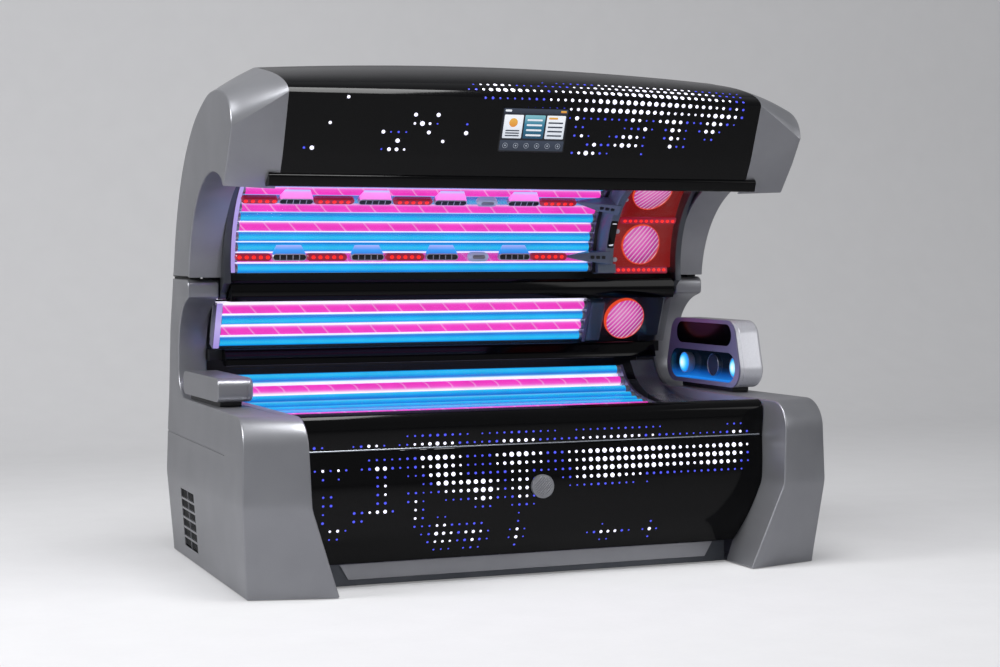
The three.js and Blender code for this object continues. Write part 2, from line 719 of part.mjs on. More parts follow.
function midRail() {
  const topAngle = 180 - THREE.MathUtils.radToDeg(Math.asin((MID_RAIL_TOP - HINGE_Z) / RAIL_RADIUS));
  const bottomAngle = 180 + THREE.MathUtils.radToDeg(Math.asin((HINGE_Z - MID_RAIL_BOTTOM) / RAIL_RADIUS));
  const front = arc(HINGE_Y, HINGE_Z, RAIL_RADIUS, topAngle, bottomAngle, 6);
  const outline = [...front, [RAIL_REAR, MID_RAIL_BOTTOM], [RAIL_REAR, MID_RAIL_TOP]];
  const end = RIB_X - 4;
  const tab = box(end - 10, RISER_X - GAP, HINGE_Y + 7, RAIL_REAR, MID_RAIL_BOTTOM, HINGE_Z - EYE_RADIUS - 1.3);
  return join(prism(outline, "x", -end, end), tab, mirrored(tab));
}

const lowRail = [
  [425, LOW_RAIL_TOP],
  [405, LOW_RAIL_BOTTOM + 38],
  [392, LOW_RAIL_BOTTOM],
  [440, LOW_RAIL_BOTTOM],
  [470, LOW_RAIL_BOTTOM + 32],
  [540, LOW_RAIL_BOTTOM + 32],
  [540, LOW_RAIL_TOP],
];
piece(bed, "mid_rail", midRail(), gloss);
piece(bed, "low_rail", prism(lowRail, "x", GAP - RISER_X, RISER_X - GAP), gloss);

// Side lamp bay, leaning back from the mid rail down to the low rail. Its own Y runs into the bay.
const sideBay = new THREE.Group();
sideBay.position.set(0, SIDE_BAY_Y, SIDE_BAY_TOP);
sideBay.rotation.x = radians(SIDE_BAY_TILT);
bed.add(sideBay);
const SIDE_LOW = -(SIDE_BAY_TOP - LOW_RAIL_TOP - GAP) / Math.cos(radians(SIDE_BAY_TILT));
const SIDE_TOP = -2;
const SIDE_RISE = (SIDE_BAY_DEPTH + SHEET) * Math.sin(radians(SIDE_BAY_TILT));
const SIDE_BACK_TOP =
  (MID_RAIL_BOTTOM - GAP - SIDE_BAY_TOP - SIDE_RISE) / Math.cos(radians(SIDE_BAY_TILT));
const SIDE_HALF = RISER_X - GAP;
const SIDE_PARTITION = PARTITION_START + 35;
const SIDE_PARTITION_WIDTH = 75;
const SIDE_LAMP_X = PARTITION_END + 142;
const SIDE_LAMP_RADIUS = 90;

function sideLamps() {
  const inner = SIDE_BAY_DEPTH - GAP;
  const pitch = (SIDE_BACK_TOP - SIDE_LOW) / SIDE_LAMP_COUNT;
  const centres = Array.from({ length: SIDE_LAMP_COUNT }, (_, i) => [30, SIDE_LOW + pitch * (i + 0.5)]);
  return join(
    box(-SIDE_HALF, HOLDER - SIDE_HALF, ACRYLIC + GAP, inner, SIDE_LOW, SIDE_BACK_TOP),
    box(SIDE_PARTITION - HOLDER, SIDE_PARTITION, ACRYLIC + GAP, inner, SIDE_LOW, SIDE_BACK_TOP),
    ...tubes(centres, HOLDER / 2 - SIDE_HALF, SIDE_PARTITION - HOLDER / 2),
  );
}

const sideLampOutline = circle(SIDE_LAMP_X, (SIDE_LOW + SIDE_BACK_TOP) / 2, SIDE_LAMP_RADIUS, 24);
const sideFaceLamp = prism(sideLampOutline, "y", 20, SIDE_BAY_DEPTH - GAP);
piece(sideBay, "side_acrylic", box(-SIDE_HALF, SIDE_HALF, 0, ACRYLIC, SIDE_LOW, SIDE_TOP), clear);
piece(sideBay, "side_lamps", sideLamps(), lamp);
piece(
  sideBay,
  "side_partition",
  box(
    SIDE_PARTITION + GAP, SIDE_PARTITION + SIDE_PARTITION_WIDTH,
    ACRYLIC + GAP, SIDE_BAY_DEPTH - GAP, SIDE_LOW, SIDE_BACK_TOP,
  ),
  lavender,
);
piece(sideBay, "side_face_lamp", sideFaceLamp, faceLamp);
piece(
  sideBay,
  "side_reflector",
  box(-SIDE_HALF, SIDE_HALF, SIDE_BAY_DEPTH, SIDE_BAY_DEPTH + SHEET, SIDE_LOW + 30, SIDE_BACK_TOP),
  zinc,
);

// Head console: a hollow shell closed by a face with a recess for two turning air nozzles
function consoleOutline(inset) {
  const low = CONSOLE_BOTTOM + inset;
  const high = CONSOLE_TOP - inset;
  const r = CONSOLE_CORNER - inset;
  const foot = CONSOLE_HALF - inset;
  const head = CONSOLE_SHOULDER - inset;
  return [
    ...arc(CONSOLE_Y + foot - r, low + r, r, -90, 15, 4),
    ...arc(CONSOLE_Y + head - r, high - r, r, 15, 90, 4),
    ...arc(CONSOLE_Y - head + r, high - r, r, 90, 165, 4),
    ...arc(CONSOLE_Y - foot + r, low + r, r, 165, 270, 4),
  ];
}

const FACE_SHEET = 6;
const NOZZLE_REACH = 14;
const NOZZLE_X = CONSOLE_FACE + FACE_SHEET + RECESS_DEPTH - NOZZLE_REACH;
const DISPLAY = [CONSOLE_Y - 10, CONSOLE_BOTTOM + 217, 484, 92];

function consoleShell() {
  const seat = CONSOLE_FACE + FACE_SHEET + GAP;
  const body = prism(consoleOutline(0), "x", seat, CONSOLE_BACK);
  const hollow = prism(consoleOutline(WALL), "x", seat - 1, CONSOLE_BACK - WALL);
  const neckTop = CONSOLE_BOTTOM + WALL;
  const neck = box(seat + 20, CONSOLE_BACK - 20, CONSOLE_Y - 200, CONSOLE_Y + 200, BASE_HEIGHT + GAP, neckTop);
  return join(cut(body, hollow), neck);
}

function pill(y, z, width, height) {
  const radius = height / 2;
  const reach = width / 2 - radius;
  return [...arc(y + reach, z, radius, -90, 90, 8), ...arc(y - reach, z, radius, 90, 270, 8)];
}

function consoleFace() {
  const recess = [CONSOLE_Y, RECESS_Z, 2 * NOZZLE_SPREAD + RECESS_HEIGHT, RECESS_HEIGHT];
  const back = CONSOLE_FACE + FACE_SHEET + RECESS_DEPTH;
  const seatRadius = Math.sqrt(NOZZLE_RADIUS ** 2 - NOZZLE_REACH ** 2) + BEARING_CLEARANCE;
  const plate = prism(consoleOutline(0), "x", CONSOLE_FACE, CONSOLE_FACE + FACE_SHEET);
  const cupOutline = pill(CONSOLE_Y, RECESS_Z, recess[2] + 6, recess[3] + 6);
  const cup = prism(cupOutline, "x", CONSOLE_FACE + 2, back + WALL);
  const pocket = prism(pill(...recess), "x", CONSOLE_FACE - 1, back);
  const window = prism(pill(...DISPLAY), "x", CONSOLE_FACE - 1, CONSOLE_FACE + FACE_SHEET + 1);
  const seats = [-1, 1].map((side) =>
    prism(
      circle(CONSOLE_Y + side * NOZZLE_SPREAD, RECESS_Z, seatRadius, 24),
      "x",
      back - 4,
      back + WALL + 1,
    ),
  );
  const disc = prism(circle(CONSOLE_Y, RECESS_Z, 46, 24), "x", back - 10, back + 1);
  return join(cut(join(plate, cup), pocket, window, ...seats), disc);
}

function nozzle(side) {
  const ball = new THREE.SphereGeometry(NOZZLE_RADIUS, 20, 12);
  ball.translate(NOZZLE_X, CONSOLE_Y + side * NOZZLE_SPREAD, RECESS_Z);
  const y = CONSOLE_Y + side * NOZZLE_SPREAD;
  const mouth = prism(circle(y, RECESS_Z, 26), "x", NOZZLE_X - NOZZLE_RADIUS - 5, NOZZLE_X - 12);
  return cut(ball, mouth);
}

const [displayY, displayZ, displayWidth, displayHeight] = DISPLAY;
const displayOutline = pill(displayY, displayZ, displayWidth - 2 * GAP, displayHeight - 2 * GAP);
piece(bed, "console_shell", consoleShell(), pearl);
piece(bed, "console_face", consoleFace(), lavender);
piece(bed, "console_display", prism(displayOutline, "x", CONSOLE_FACE + 1, CONSOLE_FACE + FACE_SHEET), gloss);
piece(bed, "nozzle_front", nozzle(-1), pearl);
piece(bed, "nozzle_rear", nozzle(1), pearl);

const POD_BOTTOM = BASE_HEIGHT + NECK_HEIGHT;
const POD_END = POD_SETBACK - HALF;
const podOutline = roundedRectangle(-160, 386, POD_BOTTOM, POD_BOTTOM + POD_HEIGHT, 30);
const footPod = join(
  prism(podOutline, "x", POD_END, POD_END + POD_WIDTH),
  box(POD_END + 23, POD_END + POD_WIDTH - 23, -110, 336, BASE_HEIGHT + GAP, POD_BOTTOM + 10),
);
piece(bed, "foot_pod", footPod, silver);

// Canopy covers: cups that close the ends of the canopy, arched over the bench, open to the inside
const SEAM_Z = RISER_HEIGHT + SEAM;
const RIM_X = HALF - COVER_DEPTH;
const EDGE_X = HALF - ARCH_EDGE;
const archStart = THREE.MathUtils.radToDeg(Math.asin((SEAM_Z - ARCH_Z) / ARCH_RADIUS));
const arch = arc(ARCH_Y, ARCH_Z, ARCH_RADIUS, archStart, 112, 10);

// Points whose second number is their height over the hinge.
const overHinge = (points) => points.map(([y, rise]) => [y, HINGE_Z + rise]);
const BACK_EDGE = [607, SEAM_Z];
const outerFront = overHinge([[-327, 398], [-376, 462], [-415, 516]]);
const outerTop = bend(...overHinge([[-471, 612], [-471, 755], [-190, 760]]), 4);
const outerBack = overHinge([[-38, 742], [193, 652], [392, 495], [527, 291]]);
const outerEdge = [...arch, ...outerFront, ...outerTop, ...outerBack, BACK_EDGE];
const [ARCH_LIP, FASCIA_EDGE] = overHinge([[-316, 391], [-395, 439]]);
const [FASCIA_LOW, FASCIA_TOP] = overHinge([[-425, 520], [-506, 736]]);
const CANOPY_TOP = HINGE_Z + 855;
const innerTop = bend(FASCIA_TOP, ...overHinge([[-495, 795], [-155, 845]]), 4);
const innerBack = overHinge([[230, 770], [430, 570], [545, 310]]);
const shellPath = [FASCIA_EDGE, FASCIA_LOW, ...innerTop, [0, CANOPY_TOP], ...innerBack, BACK_EDGE];
const innerEdge = [...arch, ARCH_LIP, ...shellPath];

function canopyCover() {
  const flat = (edge, x) => edge.map(([y, z]) => [x, y, z]);
  const leaning = (edge, inset) => edge.map(([y, z]) => [sideX(y, z) - inset, y, z]);
  const hollowInner = offset(innerEdge, -WALL, true);
  const hollowOuter = offset(outerEdge, -WALL, true);
  const hollow = [flat(hollowInner, RIM_X - 10), flat(hollowInner, RIM_X), leaning(hollowOuter, WALL)];
  const archFan = [[ARCH_Y, ARCH_Z], ...arc(ARCH_Y, ARCH_Z, ARCH_RADIUS + 42, -5, 130, 15)];
  return cut(
    loft([flat(innerEdge, RIM_X), leaning(outerEdge, 0)], "x"),
    loft(hollow, "x"),
    prism(archFan, "x", RIM_X - 20, EDGE_X),
    box(RIM_X - 20, EDGE_X, -600, 590, SEAM_Z - 40, SEAM_Z + 22),
    box(RIM_X - 20, EDGE_X, -600, -300, HINGE_Z + 310, FASCIA_EDGE[1]),
  );
}

pair(canopy, "canopy_cover", canopyCover(), silver);

// Canopy shell: one bowed sheet from the fascia over the top and down the back, with a window for the screen
const fasciaTilt = Math.atan2(FASCIA_LOW[0] - FASCIA_TOP[0], FASCIA_TOP[1] - FASCIA_LOW[1]);
const SCREEN_Z = HINGE_Z + 618;
const SCREEN_X = 5;
const SCREEN_Y = along([FASCIA_LOW, FASCIA_TOP].map(([y, z]) => [z, y]), SCREEN_Z);

function canopyShell() {
  const end = RIM_X - GAP;
  const section = band(shellPath, 0, -WALL);
  const rings = [-1, -0.66, -0.33, 0, 0.33, 0.66, 1].map((share) =>
    section.map(([y, z]) => {
      const lift = CROWN * (1 - share ** 2) * along([[FASCIA_TOP[1], 0], [CANOPY_TOP, 1]], z);
      return [end * share, y, z + lift];
    }),
  );
  const halfWidth = SCREEN_WIDTH / 2 + GAP;
  const halfHeight = SCREEN_HEIGHT / 2 + GAP;
  const window = box(-halfWidth, halfWidth, -20, 20, -halfHeight, halfHeight);
  window.rotateX(fasciaTilt);
  window.translate(SCREEN_X, SCREEN_Y, SCREEN_Z);
  return cut(loft(rings, "x"), window);
}

const screenMount = new THREE.Group();
screenMount.position.set(SCREEN_X, SCREEN_Y, SCREEN_Z);
screenMount.rotation.x = fasciaTilt;
canopy.add(screenMount);
const flangeWidth = SCREEN_WIDTH / 2 + 10;
const flangeHeight = SCREEN_HEIGHT / 2 + 10;
const touchScreen = join(
  box(-SCREEN_WIDTH / 2, SCREEN_WIDTH / 2, 0, WALL + 4, -SCREEN_HEIGHT / 2, SCREEN_HEIGHT / 2),
  box(-flangeWidth, flangeWidth, WALL + GAP, WALL + 14, -flangeHeight, flangeHeight),
);
piece(canopy, "canopy_shell", canopyShell(), gloss);
piece(screenMount, "touch_screen", touchScreen, gloss);

const RAIL_TOP = HINGE_Z + 436;
const RAIL_BOTTOM = RAIL_TOP - 38;
const frontRail = [[-394, RAIL_TOP], [-383, RAIL_BOTTOM], [-340, RAIL_BOTTOM], [-332, RAIL_TOP]];
piece(canopy, "front_rail", prism(frontRail, "x", GAP - EDGE_X, EDGE_X - GAP), gloss);

// Canopy lamp bay
const BAY_X = RIB_X - GAP;
const lampRing = [BAY_RADIUS + ACRYLIC + GAP, BAY_RADIUS + BAY_DEPTH - GAP];
const backRing = [BAY_RADIUS + BAY_DEPTH, BAY_RADIUS + BAY_DEPTH + SHEET];

function baySheet(inner, outer, from, to, start = BAY_START) {
  return prism(sector(BAY_Y, BAY_Z, inner, outer, start, BAY_END), "x", from, to);
}

function canopyLamps() {
  const radius = (lampRing[0] + lampRing[1]) / 2;
  const pitch = (BAY_END - BAY_START - 7) / (LAMP_COUNT - 1);
  const centres = Array.from({ length: LAMP_COUNT }, (_, i) =>
    polar(BAY_Y, BAY_Z, radius, BAY_START + 3.5 + pitch * i),
  );
  return join(
    baySheet(...lampRing, -BAY_X, HOLDER - BAY_X),
    baySheet(...lampRing, PARTITION_START - HOLDER, PARTITION_START - GAP),
    ...tubes(centres, HOLDER / 2 - BAY_X, PARTITION_START - HOLDER / 2),
  );
}

// A bevelled wall between the lamp bay and the face bay, swept round the arc.
function canopyPartition() {
  const back = backRing[1];
  const section = [
    [PARTITION_START, back],
    [PARTITION_END, back],
    [PARTITION_END, BAY_RADIUS],
    [PARTITION_END - 25, BAY_RADIUS - 55],
    [PARTITION_START + 24, BAY_RADIUS - 55],
    [PARTITION_START, BAY_RADIUS],
  ];
  const steps = (BAY_END - BAY_START) / ARC_STEP;
  const rings = Array.from({ length: steps + 1 }, (_, i) =>
    section.map(([x, radius]) => [x, ...polar(BAY_Y, BAY_Z, radius, BAY_START + i * ARC_STEP)]),
  );
  return loft(rings, "z");
}

function ledStrip(angle) {
  const outline = sector(BAY_Y, BAY_Z, BAY_RADIUS - 20, BAY_RADIUS - 0.8, angle - 3, angle + 3);
  return prism(outline, "x", 34 - BAY_X, PARTITION_START - 16);
}

function faceLampAt(name, angle) {
  const mount = new THREE.Group();
  mount.position.set((PARTITION_END + BAY_X) / 2, BAY_Y, BAY_Z);
  mount.rotation.x = radians(angle);
  const back = Math.sqrt((backRing[0] - 1) ** 2 - FACE_LAMP_RADIUS ** 2);
  piece(mount, name, prism(circle(0, 0, FACE_LAMP_RADIUS, 24), "y", lampRing[0] + 4, back), faceLamp);
  canopy.add(mount);
}

const acrylicRing = [BAY_RADIUS, BAY_RADIUS + ACRYLIC];
const faceFrom = PARTITION_END + GAP;
piece(canopy, "canopy_acrylic", baySheet(...acrylicRing, -BAY_X, PARTITION_START - GAP, -ARC_STEP), clear);
piece(canopy, "canopy_lamps", canopyLamps(), lamp);
piece(canopy, "canopy_reflector", baySheet(...backRing, -BAY_X, PARTITION_START - GAP), zinc);
piece(canopy, "canopy_partition", canopyPartition(), lavender);
piece(canopy, "face_acrylic", baySheet(...acrylicRing, faceFrom, BAY_X, -ARC_STEP), clear);
piece(canopy, "face_panel", baySheet(...backRing, faceFrom, BAY_X), satin);
faceLampAt("face_lamp_lower", 11.2);
faceLampAt("face_lamp_upper", 43.5);
piece(canopy, "led_strip_lower", ledStrip(5), satin);
piece(canopy, "led_strip_upper", ledStrip(42), satin);

// Canopy ribs, each with its hinge shaft and crank, and the beam between them
const BEAM_Y = 100;
const BEAM_SIDE = 50;
const RIB_WIDTH = 66;
const ribOuter = BAY_RADIUS + ACRYLIC + RIB_WIDTH;
const beamSeat = BAY_Z + Math.round(Math.sqrt(ribOuter ** 2 - (BEAM_Y - BAY_Y) ** 2)) + 10;
const BEAM = [BEAM_Y - BEAM_SIDE / 2, BEAM_Y + BEAM_SIDE / 2, beamSeat, beamSeat + BEAM_SIDE];

function canopyRib() {
  const outside = EDGE_X - GAP;
  const inner = BAY_RADIUS + ACRYLIC;
  const eye = circle(HINGE_Y, HINGE_Z, EYE_RADIUS, 24);
  const web = [
    polar(BAY_Y, BAY_Z, inner + 2, -9),
    [HINGE_Y, HINGE_Z - EYE_RADIUS + 1],
    [HINGE_Y + 20, HINGE_Z + 20],
    [HINGE_Y, HINGE_Z + EYE_RADIUS - 1],
    polar(BAY_Y, BAY_Z, ribOuter - 2, -8),
  ];
  const railBracket = [
    polar(BAY_Y, BAY_Z, inner + 8, BAY_END - 2),
    polar(BAY_Y, BAY_Z, ribOuter - 8, BAY_END - 2),
    [-375, RAIL_TOP + GAP],
    [-315, RAIL_TOP + GAP],
  ];
  const crank = box(CRANK_X, CRANK_X + 10, -SHAFT_RADIUS, CRANK_LENGTH + 12, -CRANK_WIDTH / 2, CRANK_WIDTH / 2);
  crank.rotateX(radians(CRANK_REST));
  crank.translate(0, HINGE_Y, HINGE_Z);
  return join(
    prism(sector(BAY_Y, BAY_Z, inner, ribOuter, -10, BAY_END), "x", RIB_X, outside),
    prism(eye, "x", RIB_X, outside),
    prism(web, "x", RIB_X, outside),
    box(RIB_X, outside, BEAM[0] - 5, BEAM[1] + 5, BEAM[2] - 40, BEAM[3] + 7),
    prism(railBracket, "x", RIB_X, outside),
    prism(circle(HINGE_Y, HINGE_Z, SHAFT_RADIUS), "x", RIB_X + 10, CRANK_X + 10),
    crank,
    prism(circle(PIN_Y, PIN_Z, PIN_RADIUS), "x", CRANK_X + 5, YOKE_X + YOKE_THICKNESS + 2),
  );
}

pair(canopy, "canopy_rib", canopyRib(), steel);
const [beamFront, beamBack, beamLow, beamHigh] = BEAM;
const beamBore = box(
  -BAY_X - 1, BAY_X + 1, beamFront + SHEET, beamBack - SHEET, beamLow + SHEET, beamHigh - SHEET,
);
piece(canopy, "canopy_beam", cut(box(-BAY_X, BAY_X, ...BEAM), beamBore), steel);

export default bed;
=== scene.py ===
"""Looks of the clamshell tanning bed, built round its CAD frame.

Lengths are millimetres in the bed's frame: X runs to the head end, the front is -Y, Z is up and the floor is Z 0.
"""

import json
import math

import bmesh
import bpy
import numpy as np

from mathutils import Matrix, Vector


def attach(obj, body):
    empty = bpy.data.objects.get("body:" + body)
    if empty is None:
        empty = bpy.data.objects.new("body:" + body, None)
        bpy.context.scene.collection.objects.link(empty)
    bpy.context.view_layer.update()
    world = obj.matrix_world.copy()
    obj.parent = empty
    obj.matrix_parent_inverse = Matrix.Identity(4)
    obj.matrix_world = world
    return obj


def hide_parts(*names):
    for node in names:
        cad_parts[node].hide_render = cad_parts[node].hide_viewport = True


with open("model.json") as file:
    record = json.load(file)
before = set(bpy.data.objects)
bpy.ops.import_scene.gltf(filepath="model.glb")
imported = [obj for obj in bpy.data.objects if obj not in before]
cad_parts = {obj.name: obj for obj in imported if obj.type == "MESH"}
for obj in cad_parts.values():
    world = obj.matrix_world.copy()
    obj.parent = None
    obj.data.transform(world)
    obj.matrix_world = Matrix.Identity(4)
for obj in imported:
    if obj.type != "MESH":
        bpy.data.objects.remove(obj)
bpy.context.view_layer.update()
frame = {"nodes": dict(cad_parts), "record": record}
nodes = frame["nodes"]
bodies = {n: body for body, names in frame["record"]["behaviour"]["bodies"].items() for n in names}
slots = {part["node"]: part["material_slot"] for part in frame["record"]["subparts"]}
made = set()

# Sizes shared with the CAD model
HALF = 1200
FRONT = -730
REAR = 730
KINK_Z = 334
BASE_Z = 658
NOSE_RADIUS = 112
NOSE_Z = BASE_Z - NOSE_RADIUS
NOSE_SWEEP = 84
RISER_X = 1026
RISER_Z = 1135
HINGE = (345, 1090)
ARCH = (-135, 1108, 438)
BAY = (-150, 1190)
BAY_RADIUS = 400
BAY_X = 993.7
PARTITION_X = (606, 690)
LAMP_RADIUS = 19
PANEL_Z = (92, 511)
BENCH_HALF = 970


# Shader helpers
def linear(code):
    """Linear colour of an sRGB hex code: c / 12.92 up to 0.04045, ((c + 0.055) / 1.055) ** 2.4 above it."""
    values = [int(code[i:i + 2], 16) / 255 for i in (0, 2, 4)]
    return tuple(v / 12.92 if v <= 0.04045 else ((v + 0.055) / 1.055) ** 2.4 for v in values) + (1.0,)


def join(tree, node, inputs):
    """Links each of a node's inputs to a socket, or sets it to a value."""
    for key, value in inputs.items():
        if isinstance(value, bpy.types.NodeSocket):
            tree.links.new(value, node.inputs[key])
        else:
            node.inputs[key].default_value = value
    return node


def add(tree, kind, inputs=None, **settings):
    """Adds a shader node with its settings and inputs."""
    node = tree.nodes.new(kind)
    for key, value in settings.items():
        setattr(node, key, value)
    return join(tree, node, inputs or {})


def new_material(name, cloud_mm):
    """A node material with broad noise; returns it with its tree, shader, object coordinates and the noise."""
    material = bpy.data.materials.new(name)
    material.use_nodes = True
    tree = material.node_tree
    where = add(tree, "ShaderNodeTexCoord").outputs["Object"]
    cloud = add(tree, "ShaderNodeTexNoise", {"Vector": where, "Scale": 1000 / cloud_mm, "Detail": 3.0})
    return material, tree, tree.nodes["Principled BSDF"], where, cloud.outputs["Fac"]


def surface(name, dark, pale, rough, metal=0.0, coat=0.0, grain_mm=2.4, bump=0.04, stretch=(1, 1, 1), shine=0.5):
    """Opaque finish: broad noise mottles its colour, fine grain varies its gloss and gives it a slight relief."""
    material, tree, shader, where, cloud = new_material(name, 200)
    drawn = add(tree, "ShaderNodeMapping", {"Vector": where, "Scale": stretch})
    grain = add(tree, "ShaderNodeTexNoise", {"Vector": drawn.outputs[0], "Scale": 1000 / grain_mm, "Detail": 2.0})
    fine = grain.outputs["Fac"]
    tone = add(tree, "ShaderNodeMix", {"Factor": cloud, 6: linear(dark), 7: linear(pale)}, data_type="RGBA")
    gloss = add(tree, "ShaderNodeMapRange", {"Value": fine, "To Min": rough * 0.8, "To Max": rough * 1.2})
    relief = add(tree, "ShaderNodeBump", {"Height": fine, "Strength": bump, "Distance": 0.0006})
    join(tree, shader, {
        "Base Color": tone.outputs[2], "Roughness": gloss.outputs[0], "Normal": relief.outputs["Normal"],
        "Metallic": metal, "Specular IOR Level": shine, "Coat Weight": coat, "Coat Roughness": 0.08,
    })
    return material


def sheet(name, dark, pale, alpha):
    """Clear acrylic: faint cloud in its tint and in how much it lets through, with a hard gloss."""
    material, tree, shader, _, cloud = new_material(name, 170)
    tone = add(tree, "ShaderNodeMix", {"Factor": cloud, 6: linear(dark), 7: linear(pale)}, data_type="RGBA")
    film = add(tree, "ShaderNodeMapRange", {"Value": cloud, "To Min": alpha * 0.8, "To Max": alpha * 1.2})
    gloss = add(tree, "ShaderNodeMapRange", {"Value": cloud, "To Min": 0.02, "To Max": 0.05})
    join(tree, shader, {
        "Base Color": tone.outputs[2], "Alpha": film.outputs[0], "Roughness": gloss.outputs[0], "Coat Weight": 0.6,
    })
    return material


def glow(name, colors, strength, base="20121c", rough=0.25, streak=None):
    """Lit surface: the map's V runs across it through the colours, and noise unevens its brightness. A streak (pitch,
    lean, width, share, colour) is a slanted line that repeats along U: frac(U / pitch + lean V) under its width."""
    material, tree, shader, _, cloud = new_material(name, 110)
    layer = add(tree, "ShaderNodeUVMap")
    spot = add(tree, "ShaderNodeSeparateXYZ", {"Vector": layer.outputs["UV"]})
    ramp = add(tree, "ShaderNodeValToRGB", {"Fac": spot.outputs["Y"]})
    stops = ramp.color_ramp.elements
    while len(stops) < len(colors):
        stops.new(0.5)
    for stop, (position, code) in zip(stops, colors):
        stop.position = position
        stop.color = linear(code)
    color = ramp.outputs["Color"]
    if streak:
        pitch, lean, width, share, tint = streak
        turns = add(tree, "ShaderNodeMath", {0: spot.outputs["X"], 1: 1 / pitch}, operation="MULTIPLY")
        slant = add(tree, "ShaderNodeMath", {0: spot.outputs["Y"], 1: lean, 2: turns.outputs[0]}, operation="MULTIPLY_ADD")
        phase = add(tree, "ShaderNodeMath", {0: slant.outputs[0]}, operation="FRACT")
        line = add(tree, "ShaderNodeMapRange", {"Value": phase.outputs[0], "From Max": width, "To Min": share, "To Max": 0.0})
        blend = add(tree, "ShaderNodeMix", {"Factor": line.outputs[0], 6: color, 7: linear(tint)}, data_type="RGBA")
        color = blend.outputs[2]
    power = add(tree, "ShaderNodeMapRange", {"Value": cloud, "To Min": strength * 0.85, "To Max": strength * 1.15})
    gloss = add(tree, "ShaderNodeMapRange", {"Value": cloud, "To Min": rough * 0.8, "To Max": rough * 1.2})
    join(tree, shader, {
        "Base Color": linear(base), "Emission Color": color, "Emission Strength": power.outputs[0],
        "Roughness": gloss.outputs[0],
    })
    return material


# Silver lacquer on moulded plastic: aluminium flake gives a broad soft sheen. The flake is drawn at 1.1 mm to show.
SILVER = surface("silver_lacquer", "8c8d92", "a0a1a6", 0.36, 0.7, 0.15, 1.1, 0.05)
# Polished black acrylic: almost no colour of its own, weak sharp reflections
GLOSS = surface("black_acrylic", "030304", "070708", 0.1, 0.0, 0.0, 16.0, 0.015, shine=0.2)
# Moulded black plastic with a fine spark texture: dark and matt
SATIN = surface("black_plastic", "0c0d0f", "18191c", 0.42, 0.0, 0.0, 1.4, 0.08)
# Rolled steel profile: grey, with a grain drawn along the bed
STEEL = surface("rolled_steel", "484b51", "676a70", 0.4, 0.85, 0.0, 3.3, 0.05, (1, 8, 8))
# Brushed aluminium sheet: bright, with a fine grain along the bed
ZINC = surface("brushed_aluminium", "949aa2", "bbbfc6", 0.28, 0.9, 0.0, 5.0, 0.03, (0.2, 12, 12))
# Grey-violet moulded plastic of the lamp holders: smooth, with a thin lacquer
LAVENDER = surface("violet_plastic", "757290", "8b88a4", 0.3, 0.2, 0.3, 1.25, 0.04)
# White plastic with pearl lacquer: pale, with a soft gloss
PEARL = surface("pearl_lacquer", "bfc0c8", "d6d7dd", 0.28, 0.25, 0.4, 1.25, 0.03)
# Moulded rubber: black, dull and slightly rough
RUBBER = surface("moulded_rubber", "0e0e0f", "1c1c1d", 0.7, 0.0, 0.0, 2.0, 0.2)
SLOT_COLOR = {
    "silver_plastic": SILVER,
    "gloss_black": GLOSS,
    "satin_black": SATIN,
    "frame_steel": STEEL,
    "rib_aluminium": STEEL,
    "sheet_aluminium": ZINC,
    "ballast_steel": STEEL,
    "lavender_plastic": LAVENDER,
    "pearl_plastic": PEARL,
    "foot_rubber": RUBBER,
}


# Mesh helpers
def build(name, points, faces, material, like, uv=None, angle=35.0, replaces=True):
    """Makes a smooth-shaded piece from points in millimetres that rides with the body of a CAD node and, by
    default, stands for that node. Edges sharper than an angle stay crisp. uv gives a map point for each point."""
    mesh = bpy.data.meshes.new(name)
    mesh.from_pydata((np.asarray(points, float) * 0.001).tolist(), [], [list(map(int, face)) for face in faces])
    mesh.validate()
    if uv is not None:
        layer = mesh.uv_layers.new(name="map")
        corner = np.empty(len(mesh.loops), int)
        mesh.loops.foreach_get("vertex_index", corner)
        layer.data.foreach_set("uv", np.asarray(uv, float)[corner].ravel())
    return place(name, mesh, material, like, angle, replaces)


def outward(mesh):
    """Turns a mesh's faces outwards."""
    work = bmesh.new()
    work.from_mesh(mesh)
    bmesh.ops.recalc_face_normals(work, faces=work.faces)
    if work.calc_volume(signed=True) < 0:
        bmesh.ops.reverse_faces(work, faces=work.faces)
    work.to_mesh(mesh)
    work.free()


def place(name, mesh, material, like, angle=35.0, replaces=True):
    """Shades a mesh and puts it on the body of a CAD node."""
    outward(mesh)
    mesh.shade_smooth()
    mesh.set_sharp_from_angle(angle=math.radians(angle))
    mesh.materials.clear()
    for item in material if isinstance(material, (list, tuple)) else [material]:
        mesh.materials.append(item)
    piece = bpy.data.objects.new(name, mesh)
    bpy.context.scene.collection.objects.link(piece)
    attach(piece, bodies[like])
    if replaces:
        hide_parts(like)
        made.add(like)
    return piece


def grid_faces(rows, columns, loop=False, start=0):
    """Quads of a grid of points listed row by row; loop joins each row's last point to its first."""
    faces = []
    for r in range(rows - 1):
        for c in range(columns if loop else columns - 1):
            a = start + r * columns + c
            b = start + r * columns + (c + 1) % columns
            faces.append((a, b, b + columns, a + columns))
    return faces


